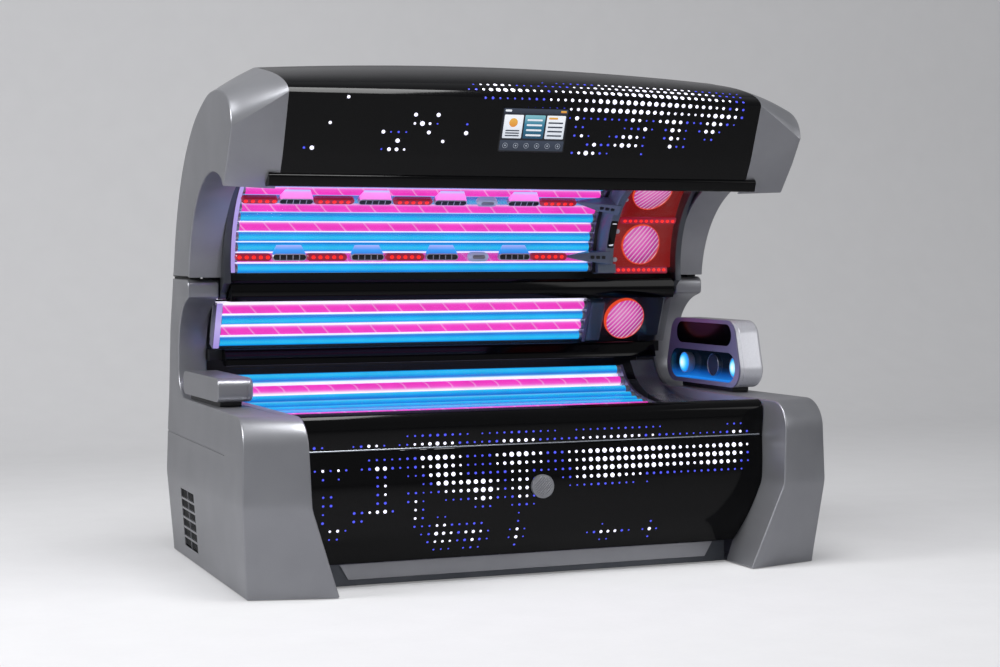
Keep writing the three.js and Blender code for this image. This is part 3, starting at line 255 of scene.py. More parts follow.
def dress(like, material=None, width=1.5, name=None):
    """A CAD node with its flat facets joined and its sharp edges rounded by a small bevel."""
    mesh = nodes[like].data.copy()
    work = bmesh.new()
    work.from_mesh(mesh)
    bmesh.ops.remove_doubles(work, verts=work.verts, dist=1e-5)
    bmesh.ops.dissolve_limit(work, angle_limit=0.02, verts=work.verts, edges=work.edges)
    sharp = [e for e in work.edges if len(e.link_faces) == 2 and e.calc_face_angle(0) > 0.6]
    bmesh.ops.bevel(
        work, geom=sharp, offset=width * 0.001, segments=3, profile=0.5, affect="EDGES", clamp_overlap=True,
    )
    work.to_mesh(mesh)
    work.free()
    return place(name or f"{like}_dressed", mesh, material or SLOT_COLOR[slots[like]], like, 32.0)


def catmull(points, per=6):
    """Curve through points: on each span, 0.5 (2 p1 + (p2 - p0) t + (2 p0 - 5 p1 + 4 p2 - p3) t2 + (3 p1 - p0 - 3 p2 + p3) t3).
    The first point only sets the direction at the start."""
    p = np.asarray([*points, 2 * np.array(points[-1]) - np.array(points[-2])], float)
    t = np.linspace(0, 1, per, endpoint=False)[:, None]
    spans = []
    for a, b, c, d in zip(p[:-3], p[1:-2], p[2:-1], p[3:]):
        spans.append(
            0.5 * (2 * b + (c - a) * t + (2 * a - 5 * b + 4 * c - d) * t ** 2 + (3 * b - a - 3 * c + d) * t ** 3)
        )
    return np.vstack([*spans, [p[-2]]])


def inward(ring):
    """Unit normals of a closed outline that point into it, from the directions of the two edges at each point."""
    ahead = np.roll(ring, -1, 0) - ring
    behind = ring - np.roll(ring, 1, 0)
    ahead = ahead / np.maximum(np.linalg.norm(ahead, axis=1), 1e-9)[:, None]
    behind = behind / np.maximum(np.linalg.norm(behind, axis=1), 1e-9)[:, None]
    along = ahead + behind
    along = along / np.maximum(np.linalg.norm(along, axis=1), 1e-9)[:, None]
    normal = np.column_stack([-along[:, 1], along[:, 0]])
    area = np.sum(ring[:, 0] * np.roll(ring[:, 1], -1) - np.roll(ring[:, 0], -1) * ring[:, 1])
    return normal if area > 0 else -normal


def subtract(piece, *cutters):
    """Cuts closed meshes, given as points and faces, out of a piece."""
    for points, faces in cutters:
        mesh = bpy.data.meshes.new("cutter")
        mesh.from_pydata((np.asarray(points, float) * 0.001).tolist(), [], [list(face) for face in faces])
        outward(mesh)
        cutter = bpy.data.objects.new("cutter", mesh)
        bpy.context.scene.collection.objects.link(cutter)
        change = piece.modifiers.new("cut", "BOOLEAN")
        change.operation = "DIFFERENCE"
        change.solver = "EXACT"
        change.object = cutter
        bpy.context.view_layer.update()
        shape = bpy.data.meshes.new_from_object(piece.evaluated_get(bpy.context.evaluated_depsgraph_get()))
        piece.modifiers.clear()
        piece.data = shape
        bpy.data.objects.remove(cutter)
    piece.data.shade_smooth()
    piece.data.set_sharp_from_angle(angle=math.radians(32))


def block(x0, x1, y0, y1, z0, z1):
    """Points and faces of a straight-sided cutter."""
    points = [(x, y, z) for x in (x0, x1) for y in (y0, y1) for z in (z0, z1)]
    faces = [(0, 1, 3, 2), (4, 6, 7, 5), (0, 4, 5, 1), (2, 3, 7, 6), (0, 2, 6, 4), (1, 5, 7, 3)]
    return points, faces


def rod(y, z, radius, x0, x1, sides=24):
    """Points and faces of a round cutter along X."""
    turn = np.linspace(0, 2 * math.pi, sides, endpoint=False)
    ring = [(y + radius * math.cos(a), z + radius * math.sin(a)) for a in turn]
    points = [(x, *p) for x in (x0, x1) for p in ring]
    return points, grid_faces(2, sides, True) + [tuple(range(sides)), tuple(range(sides, 2 * sides))]


def mirror(piece, name, like):
    """The same piece at the foot end."""
    mesh = piece.data.copy()
    points = np.empty(len(mesh.vertices) * 3)
    mesh.vertices.foreach_get("co", points)
    points[::3] *= -1
    mesh.vertices.foreach_set("co", points)
    return place(name, mesh, list(mesh.materials), like, 32.0)


# Base covers
FLOOR_GAP = 3
WALL = 4


def soft(z, heights, values, blur=16):
    """Straight-line table reading, averaged over a short height so that its kinks turn softly."""
    z = np.asarray(z, float)
    return np.mean([np.interp(z + d, heights, values) for d in np.linspace(-blur, blur, 7)], axis=0)


def side_x(y, z):
    """Side faces: 1200 less a tuck of 26 at the floor, 0 at the kink and 8 above, less 0.04 (Y + 646)."""
    return HALF - soft(z, [FLOOR_GAP, KINK_Z, BASE_Z], [26, 0, 8]) - 0.04 * (y - FRONT - NOSE_SWEEP)


def inner_x(z):
    """Inner faces of the lower body."""
    return soft(z, [FLOOR_GAP, KINK_Z, BASE_Z], [848, 964, 977])


def front_y(z):
    """Front edge: a foot that leans out to the kink, an upright nose, then a quarter round onto the top."""
    round_off = NOSE_RADIUS - np.sqrt(np.maximum(NOSE_RADIUS ** 2 - np.maximum(z - NOSE_Z, 0) ** 2, 0))
    return FRONT + soft(z, [FLOOR_GAP, KINK_Z, NOSE_Z], [50, 0, 8]) + round_off


def rear_y(z):
    """Rear edge of the lower body and the riser."""
    return REAR - soft(z, [FLOOR_GAP, KINK_Z, NOSE_Z, 921, RISER_Z], [18, 0, 8, 54, 121])


def turned(y, z, radius, start, stop, steps):
    """Points on an arc, angles in degrees."""
    a = np.radians(np.linspace(start, stop, steps))
    return np.column_stack([y + radius * np.cos(a), z + radius * np.sin(a)])


LOW_Z = np.array([3, 40, 90, 150, 210, 270, 300, 317, 334, 351, 368, 400, 450, 500, 530])
low_front = np.concatenate([LOW_Z, NOSE_Z + NOSE_RADIUS * np.sin(np.radians(np.linspace(0, 90, 15)))])
RISER_FRONT = np.vstack([
    turned(398, 770, 112, -90, 0, 9),
    turned(291, 840, 219, 0, 75, 12),
    [(332, 1056), (318, 1060), (310, 1066), (308, 1076)],
    turned(338, 1105, 30, 180, 90, 7),
])


def base_section():
    """Outline points of a base cover as inner and outer ends of straight rulings, where each ruling starts, which
    points are the riser's, and how many the front has:
    the front edge goes back 84 towards the side, the rest runs straight along X, and the riser starts at its wall."""
    front = np.column_stack([front_y(low_front), low_front])
    riser_rear = np.column_stack([rear_y(RISER_FRONT[1:, 1]), RISER_FRONT[1:, 1]])
    rear = np.column_stack([rear_y(low_front), low_front])
    ring = np.vstack([front, RISER_FRONT, riser_rear[::-1], rear[::-1]])
    outer = ring.copy()
    outer[:len(front), 0] += NOSE_SWEEP
    riser = np.zeros(len(ring), bool)
    riser[len(front):len(ring) - len(rear)] = True
    start = np.where(riser, RISER_X, inner_x(ring[:, 1]))
    return ring, outer, start, riser, len(front)


def cover_rings(stations, ring, outer, start, end_inset=0.0):
    """Rings along the rulings: each station gives a ring's X for every point and its inset into the outline."""
    rings = []
    for x, inset in stations:
        stop = side_x(outer[:, 0], outer[:, 1]) - end_inset
        share = ((x(stop) - start) / (stop - start))[:, None]
        flat = ring + (outer - ring) * share
        flat = flat + inward(flat) * np.broadcast_to(inset, len(flat))[:, None]
        rings.append(np.column_stack([x(stop), flat]))
    return rings


def ladder(count, low, offset, flip=False):
    """Faces of an end cap, in rows between the front and the rear of a base outline of count points."""
    faces = []
    riser = (count - 2 * low + 1) // 2
    front = list(range(low + riser))
    rear = [count - 1 - i for i in range(low)] + [count - low - i for i in range(1, riser)]
    rear.insert(low, count - low)
    for i in range(len(front) - 1):
        a, b, c, d = front[i], front[i + 1], rear[i + 1], rear[i]
        faces.append([a + offset, b + offset, c + offset] + ([] if c == d else [d + offset]))
    return faces


def base_body(inset, edge):
    """Closed points and faces of the outer part of a base cover, from the riser's wall out to the side, shrunk by an
    inset. Its edges are quarter rounds: x back by r (1 - sin a) and into the outline by r (1 - cos a)."""
    ring, outer, start, riser, low = base_section()
    rounds = np.radians(np.linspace(0, 90, 6))
    stations = []
    for a in rounds[::-1]:
        wall = np.where(riser, 8.0, 0.0) * (edge > 0)
        stations.append((
            lambda stop, a=a: np.full(len(ring), RISER_X + inset + 8.0 * (1 - math.sin(a))),
            inset + wall * (1 - math.cos(a)),
        ))
    for a in rounds:
        stations.append((
            lambda stop, a=a: stop - inset - max(edge, 1.0) * (1 - math.sin(a)), inset + edge * (1 - math.cos(a)),
        ))
    rings = cover_rings(stations, ring, outer, np.minimum(start, RISER_X))
    count = len(ring)
    faces = grid_faces(len(rings), count, True)
    faces += ladder(count, low, 0) + ladder(count, low, (len(rings) - 1) * count)
    return np.vstack(rings), faces


def base_toe():
    """Points and faces of the inner part of a base cover, from its leaning inner face to the riser's wall. The inner
    face runs from a rounded edge to the service opening."""
    ring, outer, start, riser, low = base_section()
    keep = ~riser
    ring, outer, start = ring[keep], outer[keep], start[keep]
    stations = [
        (lambda stop, a=a: start + 8.0 * (1 - math.sin(a)), 8.0 * (1 - math.cos(a)))
        for a in np.radians(np.linspace(90, 0, 6))
    ]
    stations.append((lambda stop: np.full(len(ring), RISER_X + 0.2), 0.0))
    rings = cover_rings(stations, ring, outer, start)
    hole = rings[0].copy()
    hole[:, 1] = np.clip(hole[:, 1], -472, 668)
    hole[:, 2] = np.clip(hole[:, 2], 8, 600)
    hole[:, 0] = inner_x(hole[:, 2])
    rings.insert(0, hole)
    return np.vstack(rings), grid_faces(len(rings), len(ring), True)


outer_points, outer_faces = base_body(0.0, 6.0)
cover = build("base_cover_right_body", outer_points, outer_faces, SILVER, "base_cover_right")
VENT_Y = (206, 456)
VENT_Z = (55, 290)
groove = [
    (side_x(y, z) + d, y, z) for d in (-3.4, 20) for y in (-350, 800) for z in (498, 505)
]
subtract(
    cover,
    base_body(WALL, 0.0),
    block(1052, 1101, 390, 566, 1110, 1150),
    rod(*HINGE, 16, RISER_X - 10, RISER_X + 14),
    block(1130, 1240, *VENT_Y, *VENT_Z),
    (groove, block(0, 1, 0, 1, 0, 1)[1]),
)
mirror(cover, "base_cover_left_body", "base_cover_left")
toe_points, toe_faces = base_toe()
toe = build("base_cover_right_toe", toe_points, toe_faces, SILVER, "base_cover_right", replaces=False)
mirror(toe, "base_cover_left_toe", "base_cover_left")


# Canopy covers and shell
RIM_X = 978
EDGE_X = 1021
SEAM_Z = 1143
CROWN = 33
SKIN_ROWS = 5
SWELL = 6.0


def bezier(start, control, end, steps=13):
    """(1 - t)2 start + 2 t (1 - t) control + t2 end."""
    t = np.linspace(0, 1, steps)[:, None]
    return (1 - t) ** 2 * np.array(start) + 2 * t * (1 - t) * np.array(control) + t ** 2 * np.array(end)


def rolled(low, top, control, crest, back):
    """A section from a fascia's straight front, over a rolled top edge, then down the back."""
    line = np.linspace(low, top, 6)
    roll = bezier(top, control, crest)
    return np.vstack([line[:-1], roll, catmull([roll[-3], crest, *back])[1:]])


FASCIA_LOW = (-426.4, 1614)
FASCIA_TOP = (-506, 1826)
RIM = np.vstack([
    [(-384, 1529), (-423, 1606.5)],
    rolled(FASCIA_LOW, FASCIA_TOP, (-495, 1885), (-155, 1935),
           [(0, 1945), (230, 1860), (430, 1660), (545, 1400), (607, SEAM_Z)]),
])
BRIM = np.vstack([
    [(-376, 1552), (-412, 1602)],
    rolled((-418, 1612), (-471, 1702), (-471, 1845), (-190, 1850),
           [(-38, 1832), (193, 1742), (392, 1585), (527, 1381), (607, SEAM_Z)]),
])
ARCH_START = math.degrees(math.asin((SEAM_Z - ARCH[1]) / ARCH[2]))


def canopy_cover():
    """Points and faces of the head end's canopy cover. Its skin runs from the rim to the side's brim with a swell of
    4 SWELL t (1 - t), the brim is a small quarter round, and an arch of radius 438 closes it below. The side is filled
    in rows between the arch and the brim, and the arch ends in a turned-up lip."""
    chain = len(RIM) + 1
    arch = turned(*ARCH, ARCH_START, 112, chain)
    rim = np.vstack([[(-316, 1481)], RIM])
    brim = np.vstack([[(-327, 1488)], BRIM])
    outline = np.vstack([brim, arch])
    inset = inward(outline)
    edge = 8.0
    order = np.arange(chain)
    taper = np.clip(np.minimum(order - 2, chain - 1 - order) / 5, 0, 1)[:, None]
    side = side_x(*brim.T) - edge
    points = []
    for t in np.linspace(0, 1, SKIN_ROWS, endpoint=False):
        skin = rim * (1 - t) + brim * t - inset[:chain] * taper * SWELL * 4 * t * (1 - t)
        points.append(np.column_stack([RIM_X * (1 - t) + side * t, skin]))
    lip = turned(ARCH[0], ARCH[1], ARCH[2] + 9, ARCH_START, 112, chain)
    arches = [np.column_stack([np.full(chain, EDGE_X), lip]), np.column_stack([np.full(chain, EDGE_X), arch])]
    for a in np.radians(np.linspace(0, 90, 7)):
        flat = outline + inset * edge * (1 - math.cos(a))
        x = side_x(flat[:, 0], flat[:, 1]) - edge * (1 - math.sin(a))
        points.append(np.column_stack([x, flat])[:chain])
        arches.append(np.column_stack([x, flat])[chain:])
    rows = len(points)
    faces = grid_faces(rows, chain)
    start = rows * chain
    faces += grid_faces(len(arches), chain, False, start)
    last = (rows - 1) * chain
    inner = start + (len(arches) - 1) * chain
    faces += [
        (last + i, last + i + 1, inner + chain - 2 - i, inner + chain - 1 - i) for i in range(chain - 1)
    ]
    tip = start + 2 * chain - 1
    faces += [(row * chain, (row + 1) * chain, tip) for row in range(SKIN_ROWS)]
    faces.append((SKIN_ROWS * chain, tip + chain, tip))
    for row in range(SKIN_ROWS, rows - 1):
        near = tip + chain * (row - SKIN_ROWS + 1)
        faces.append((row * chain, (row + 1) * chain, near + chain, near))
    return np.vstack([*points, *arches]), faces


def canopy_lift(share, z):
    """Rise of the bowed top at a share of the half length: 33 (1 - share2), from none at the fascia's top edge."""
    return CROWN * (1 - share ** 2) * np.clip((z - FASCIA_TOP[1]) / 119, 0, 1)


def canopy_shell(columns=41):
    """Points and faces of the canopy's skin: the rim's section carried along X with the bow added, and a second
    surface 4 inside it, joined at the edges."""
    rim = RIM
    under = rim + inward(np.vstack([rim, [(200, SEAM_Z)]]))[:-1] * WALL
    loop = np.vstack([rim, under[::-1]])
    shares = np.linspace(-1, 1, columns)
    rings = [
        np.column_stack([np.full(len(loop), (RIM_X - 0.3) * s), loop[:, 0], loop[:, 1] + canopy_lift(s, loop[:, 1])])
        for s in shares
    ]
    faces = grid_faces(columns, len(loop), True)
    count = len(loop)
    for start in (0, (columns - 1) * count):
        faces += [(start + i, start + i + 1, start + count - 2 - i, start + count - 1 - i) for i in range(len(rim) - 1)]
    return np.vstack(rings), faces


cover_points, cover_faces = canopy_cover()
lid = build("canopy_cover_right_cup", cover_points, cover_faces, SILVER, "canopy_cover_right", angle=30)
mirror(lid, "canopy_cover_left_cup", "canopy_cover_left")
build("canopy_shell_skin", *canopy_shell(), GLOSS, "canopy_shell", angle=30)


# Lamps and clear sheets
PINK_STREAK = (0.105, 0.0, 0.1, 0.55, "ffd8fa")
PINK = glow("pink_lamp", [(0.3, "ffffff"), (0.55, "ffdcfb"), (0.7, "ff8ae8"), (0.85, "ff4cd2"), (1.0, "ff3ccc")], 1.06, streak=PINK_STREAK)
BLUE = glow("blue_lamp", [(0.3, "e4f4ff"), (0.54, "62c6ff"), (0.68, "0a78dc"), (0.84, "0a90f0"), (0.95, "14b4ff"), (1.0, "2cc8ff")], 1.04)
# Reflector sheets glow pale lavender-white: painted lamp light reflected off them.
PAINTED_REFLECTOR_GLOW = glow("reflector_painted_glow", [(0.0, "dcd3ff"), (1.0, "f2ecff")], 0.9, "c8c4d8")
CAP = surface("lamp_cap", "b8bac2", "d0d2d8", 0.3, 0.8, 0.0, 2.0, 0.05)
CLEAR = sheet("clear_acrylic", "181a24", "262a38", 0.1)
RED_CLEAR = sheet("red_lit_acrylic", "4a0808", "64100c", 0.14)


def tube_bank(name, like, spots, x0, x1, colors, first=True):
    """Round lamps along X at (Y, Z, facing) spots, 24 sides each, with drawn-in end caps. For an angle a from the facing
    the map's V is 0.5 + 0.5 cos a, so it is 1 along the side that faces out, and its U is X less 0.018 sin a in metres."""
    sides = 24
    turn = np.linspace(0, 2 * math.pi, sides, endpoint=False)
    ends = [(x0, 0.55), (x0 + 3, 0.8), (x0 + 3, 1.0), (x0 + 22, 1.0)]
    ends += [(x1 - 22, 1.0), (x1 - 3, 1.0), (x1 - 3, 0.8), (x1, 0.55)]
    groups = {}
    for (y, z, facing), color in zip(spots, colors):
        rings = [
            np.column_stack([
                np.full(sides, x), y + LAMP_RADIUS * r * np.cos(turn), z + LAMP_RADIUS * r * np.sin(turn),
            ])
            for x, r in ends
        ]
        across = 0.5 + 0.5 * np.cos(turn - facing)
        slant = y * 0.003 - 0.018 * np.sin(turn - facing)
        uv = np.vstack([np.column_stack([x * 0.001 + slant, across]) for x, _ in ends])
        for key, picked in ((color, slice(3, 5)), ("cap", slice(0, 4)), ("cap", slice(4, 8))):
            points, faces, maps = groups.setdefault(key, ([], [], []))
            part = rings[picked]
            start = sum(len(p) for p in points)
            faces += grid_faces(len(part), sides, True, start)
            if key == "cap":
                end = start if picked.start == 0 else start + (len(part) - 1) * sides
                faces.append(list(range(end, end + sides)))
            points.append(np.vstack(part))
            maps.append(uv[picked.start * sides:picked.stop * sides])
    finish = {"pink": PINK, "blue": BLUE, "cap": CAP}
    for key, (points, faces, maps) in sorted(groups.items()):
        build(f"{name}_{key}", np.vstack(points), faces, finish[key], like, np.vstack(maps), replaces=first)
        first = False


def arc_sheet(name, like, material, centre, radii, angles, x0, x1, replaces=True, steps=96, columns=2):
    """A curved sheet between two radii about a line along X, through a range of angles in degrees."""
    loop = np.vstack([
        turned(*centre, radii[0], angles[0], angles[1], steps), turned(*centre, radii[1], angles[1], angles[0], steps),
    ])
    xs = np.linspace(x0, x1, columns)
    points = np.vstack([np.column_stack([np.full(len(loop), x), loop]) for x in xs])
    faces = grid_faces(columns, len(loop), True)
    count = len(loop)
    for start in (0, (columns - 1) * count):
        faces += [(start + i, start + i + 1, start + count - 2 - i, start + count - 1 - i) for i in range(steps - 1)]
    uv = np.column_stack([points[:, 0] * 0.001, np.tile(np.linspace(0, 1, count), columns)])
    return build(name, points, faces, material, like, uv, replaces=replaces)


def path_sheet(name, like, material, path, near, far, x0, x1, replaces=True):
    """A sheet that follows a path of (Y, Z) points between two depths under it."""
    along = np.gradient(path, axis=0)
    normal = np.column_stack([along[:, 1], -along[:, 0]]) / np.linalg.norm(along, axis=1)[:, None]
    loop = np.vstack([path + normal * near, (path + normal * far)[::-1]])
    points = np.vstack([np.column_stack([np.full(len(loop), x), loop]) for x in (x0, x1)])
    count = len(loop)
    faces = grid_faces(2, count, True)
    for start in (0, count):
        faces += [(start + i, start + i + 1, start + count - 2 - i, start + count - 1 - i) for i in range(len(path) - 1)]
    uv = np.column_stack([points[:, 0] * 0.001, np.tile(np.linspace(0, 1, count), 2)])
    return build(name, points, faces, material, like, uv, replaces=replaces)


# Canopy bay: lamps on an arc of radius 428, 5.75 degrees apart
CANOPY_LAMPS = "blue pink blue blue pink blue pink blue pink blue pink blue pink blue pink blue pink blue pink blue"
canopy_spots = []
for i in range(20):
    angle = math.radians(-1.4 + 5.75 * i)
    spot = (BAY[0] + 428 * math.cos(angle), BAY[1] + 428 * math.sin(angle), angle + math.pi)
    canopy_spots.append(spot)
tube_bank("canopy_lamp", "canopy_lamps", canopy_spots, -985, 600, CANOPY_LAMPS.split())
# A reflector's side towards the lamps glows with painted reflected lamp light; its back is plain metal.
LIT_SIDE = (452, 453.4)
BACK_SIDE = (453.6, 455)
REFLECTOR_ARC = (-1.8, 115)
arc_sheet("canopy_acrylic_sheet", "canopy_acrylic", CLEAR, BAY, (BAY_RADIUS, BAY_RADIUS + 4), (-5, 115), -BAY_X, 605.7)
arc_sheet("canopy_reflector_sheet", "canopy_reflector", PAINTED_REFLECTOR_GLOW, BAY, LIT_SIDE, REFLECTOR_ARC, -BAY_X, 605.7)
arc_sheet("canopy_reflector_back", "canopy_reflector", ZINC, BAY, BACK_SIDE, REFLECTOR_ARC, -BAY_X, 605.7, False)
arc_sheet("face_acrylic_sheet", "face_acrylic", RED_CLEAR, BAY, (BAY_RADIUS, BAY_RADIUS + 4), (-5, 115), 690.3, BAY_X)
for end, x0 in (("foot", -BAY_X), ("head", 593.7)):
    arc_sheet(
        f"canopy_lamp_holder_{end}", "canopy_lamps", LAVENDER, BAY, (404.5, 451.5), REFLECTOR_ARC, x0, x0 + 12, False,
    )

# Side bay, leaning back 21.1 degrees
SIDE = (350, 1045)
SIDE_END = 641
SIDE_LAMP_X = 832
TILT = math.radians(21.1)


def from_side(points):
    """Points of the side bay's own frame, whose Y runs into the bay, in the bed's frame."""
    p = np.asarray(points, float)
    y = SIDE[0] + p[:, 1] * math.cos(TILT) - p[:, 2] * math.sin(TILT)
    z = SIDE[1] + p[:, 1] * math.sin(TILT) + p[:, 2] * math.cos(TILT)
    return np.column_stack([p[:, 0], y, z])


side_spots = []
for k in range(4):
    spot = from_side([(0, 30, -210.8 + 47.3 * (k + 0.5))])[0]
    side_spots.append((spot[1], spot[2], math.pi + TILT))
tube_bank("side_lamp", "side_lamps", side_spots, -1016, SIDE_END - 4, ["blue", "pink", "blue", "pink"])

# Bench: a dished sheet over lamps 33 under it
BENCH = catmull([(-700, 668), (-482, 650), (-250, 628), (0, 618), (200, 640), (320, 690), (392, 774)], 10)
bench_arc = np.concatenate([[0], np.cumsum(np.linalg.norm(np.diff(BENCH, axis=0), axis=1))])
BENCH_LAMPS = "pink blue blue pink blue blue pink blue blue blue pink blue blue blue blue pink blue"
bench_along = np.gradient(BENCH, axis=0)
bench_normal = np.column_stack([bench_along[:, 1], -bench_along[:, 0]]) / np.linalg.norm(bench_along, axis=1)[:, None]
bench_spots = []
for s in np.linspace(35, bench_arc[-1] - 35, 17):
    y, z, ny, nz = (np.interp(s, bench_arc, v) for v in (*BENCH.T, *bench_normal.T))
    bench_spots.append((y + ny * 33.3, z + nz * 33.3, math.atan2(-nz, -ny)))
tube_bank("bench_lamp", "bench_lamps", bench_spots, -961, 798, BENCH_LAMPS.split())
path_sheet("bench_acrylic_sheet", "bench_acrylic", CLEAR, BENCH, 0, 6, -BENCH_HALF, BENCH_HALF)
path_sheet("bench_reflector_sheet", "bench_reflector", PAINTED_REFLECTOR_GLOW, BENCH, 60.6, 63.6, -965, 801)
for end, x0 in (("foot", -965), ("head", 796)):
    path_sheet(f"bench_lamp_holder_{end}", "bench_lamps", LAVENDER, BENCH[:-2], 14, 60, x0, x0 + 12, False)
HEAD_PANEL = surface("head_panel", "6e7078", "82848c", 0.25, 0.3, 0.3, 2.0, 0.03)
path_sheet("bench_head_panel", "bench_partition", HEAD_PANEL, BENCH, 14, 17, 851, 962)


# Small pieces on a surface: u runs along it, v across it and h out of it
def rounded(box, radius, per=6):
    """Rounded rectangle in a box (u0, u1, v0, v1): four quarter circles of a radius."""
    u0, u1, v0, v1 = box
    turn = np.linspace(0, math.pi / 2, per)
    quarters = [(u1 - radius, v1 - radius), (u0 + radius, v1 - radius), (u0 + radius, v0 + radius), (u1 - radius, v0 + radius)]
    return np.vstack([
        np.column_stack([u + radius * np.cos(turn + q * math.pi / 2), v + radius * np.sin(turn + q * math.pi / 2)])
        for q, (u, v) in enumerate(quarters)
    ])


def stacked(rings):
    """Points, faces and map of a closed body through rings of (u, v, h) points, with a face on the first and last."""
    count = len(rings[0])
    faces = grid_faces(len(rings), count, True)
    faces.append(list(range(count))[::-1])
    faces.append([(len(rings) - 1) * count + i for i in range(count)])
    points = np.vstack(rings)
    low, high = points[:, 1].min(), points[:, 1].max()
    return points, faces, np.column_stack([points[:, 0] * 0.001, (points[:, 1] - low) / (high - low)])


def pad(box, radius, steps, per=6):
    """A raised pad on a rounded outline. Each step is a ring: how far it is drawn in, and its height."""
    u0, u1, v0, v1 = box
    rings = []
    for inset, height in steps:
        ring = rounded((u0 + inset, u1 - inset, v0 + inset, v1 - inset), max(radius - inset, 0.05), per)
        rings.append(np.column_stack([ring, np.full(len(ring), height)]))
    return stacked(rings)


def dot(u, v, radius, base, top):
    """A small round dome."""
    return pad((u - radius, u + radius, v - radius, v + radius), radius, [(0, base), (0, top - 0.6), (radius * 0.4, top)], 4)


def set_on(name, like, material, parts, spot, replaces=False, angle=35.0):
    """Joins parts made in (u, v, h) into one piece and sets it on a surface through that surface's own function."""
    points, faces, maps = [], [], []
    start = 0
    for part_points, part_faces, part_map in parts:
        points.append(part_points)
        maps.append(part_map)
        faces += [[start + i for i in face] for face in part_faces]
        start += len(part_points)
    return build(name, spot(np.vstack(points)), faces, material, like, np.vstack(maps), angle, replaces)


def bay_spot(angle, base=399.2, x=0.0):
    """Surface of the canopy bay at an angle in degrees: v bends round the bay's axis and h runs towards it."""
    def spot(p):
        turn = math.radians(angle) + p[:, 1] / base
        radius = base - p[:, 2]
        return np.column_stack([p[:, 0] + x, BAY[0] + radius * np.cos(turn), BAY[1] + radius * np.sin(turn)])
    return spot


def side_spot(x, depth, height):
    """Surface of the side bay: a place in the bay's own frame, with h towards the user."""
    def spot(p):
        return from_side(np.column_stack([p[:, 0] + x, depth - p[:, 2], p[:, 1] + height]))
    return spot


# Strips of red lights and air vents along the canopy bay
BAR_CLEAR = sheet("strip_acrylic", "b060b0", "d880d0", 0.2)
# The scoops over the vents glow: painted pink and blue lamp light, paling at their far ends to painted blue-white
# glints.
PINK_SCOOP_PAINTED_GLOW = glow("pink_acrylic_painted_glow", [(0.0, "ff7ade"), (0.7, "fb8ae6"), (1.0, "9cccfa")], 0.85, "b878b8")
BLUE_SCOOP_PAINTED_GLOW = glow("blue_acrylic_painted_glow", [(0.0, "1c78d4"), (0.5, "2f9cf0"), (1.0, "b8b4f4")], 0.8, "4080b0")
RED_LENS = glow("red_lens", [(0.0, "8c1830"), (0.5, "b02c46"), (1.0, "8c1830")], 0.6, "6a1020", 0.15)
RED_DOT = glow("red_led", [(0.0, "e80808"), (0.5, "ff2c24"), (1.0, "e80808")], 1.3, "400404")
PARTITION = surface("partition_plastic", "5c6874", "74808c", 0.26, 0.15, 0.3, 1.4, 0.04)
# The oval sensor covers glow grey-blue, palest along their middle: a painted sheen.
SENSOR_PAINTED_SHEEN = glow("sensor_cover_painted_sheen", [(0.0, "6f7896"), (0.5, "aab4d0"), (1.0, "7a84a4")], 0.5, "9aa0b4")
RED_SPANS = [(-980, -832), (-685, -515), (-350, -180), (297, 465)]
VENT_SPANS = [(-825, -690), (-495, -360), (-170, -35), (155, 290)]
OVAL = (15, 105, -20, 20)


def scoop(x0, x1):
    """Wedge that rises from the bay's sheet to the height of a vent's upper edge."""
    rings = []
    for v, inset, height in ((13, 0, 19.5), (30, 7, 11), (48, 16, 1.5)):
        rings.append(np.array([(x0 + inset, v, 0), (x1 - inset, v, 0), (x1 - inset, v, height), (x0 + inset, v, height)]))
    return stacked(rings)


for like, angle, wedge in (("led_strip_lower", 5, BLUE_SCOOP_PAINTED_GLOW), ("led_strip_upper", 42, PINK_SCOOP_PAINTED_GLOW)):
    spot = bay_spot(angle)
    arc_sheet(f"{like}_bar", like, BAR_CLEAR, BAY, (386, 399.2), (angle - 2.4, angle + 2.4), -959.7, 590, steps=8)
    rims = [pad((a - 4, b + 4, -15, 15), 15, [(0, 0), (0, 19), (1.5, 20.5)]) for a, b in VENT_SPANS]
    grids = [pad((a, b, -11, 11), 11, [(0, 18), (0, 21), (1, 21.6)]) for a, b in VENT_SPANS]
    ribs = []
    for a, b in VENT_SPANS:
        for x in np.linspace(a, b, 6)[1:-1]:
            ribs.append(pad((x - 1.6, x + 1.6, -10, 10), 1.2, [(0, 20), (0, 22.6)], 3))
    set_on(f"{like}_vent_rims", like, PEARL, rims, spot)
    set_on(f"{like}_vent_slots", like, SATIN, grids, spot)
    set_on(f"{like}_vent_ribs", like, PEARL, ribs, spot)
    set_on(f"{like}_scoops", like, wedge, [scoop(a, b) for a, b in VENT_SPANS], spot)
    lenses = [pad((a, b, -16, 16), 16, [(0, 0), (0, 16), (4, 20)]) for a, b in RED_SPANS]
    reds = []
    for a, b in RED_SPANS:
        for x in np.linspace(-58, 58, 5) + (a + b) / 2:
            reds.append(dot(x, 0, 8.5, 18, 21.8))
    set_on(f"{like}_lenses", like, RED_LENS, lenses, spot)
    set_on(f"{like}_leds", like, RED_DOT, reds, spot)
    oval = pad(OVAL, 20, [(0, 0), (0, 18), (4, 22)])
    inner = pad((32, 88, -9, 9), 9, [(0, 20), (0, 23.5), (2, 24.5)])
    set_on(f"{like}_sensor", like, SENSOR_PAINTED_SHEEN, [oval], spot)
    set_on(f"{like}_sensor_lens", like, SILVER, [inner], spot)

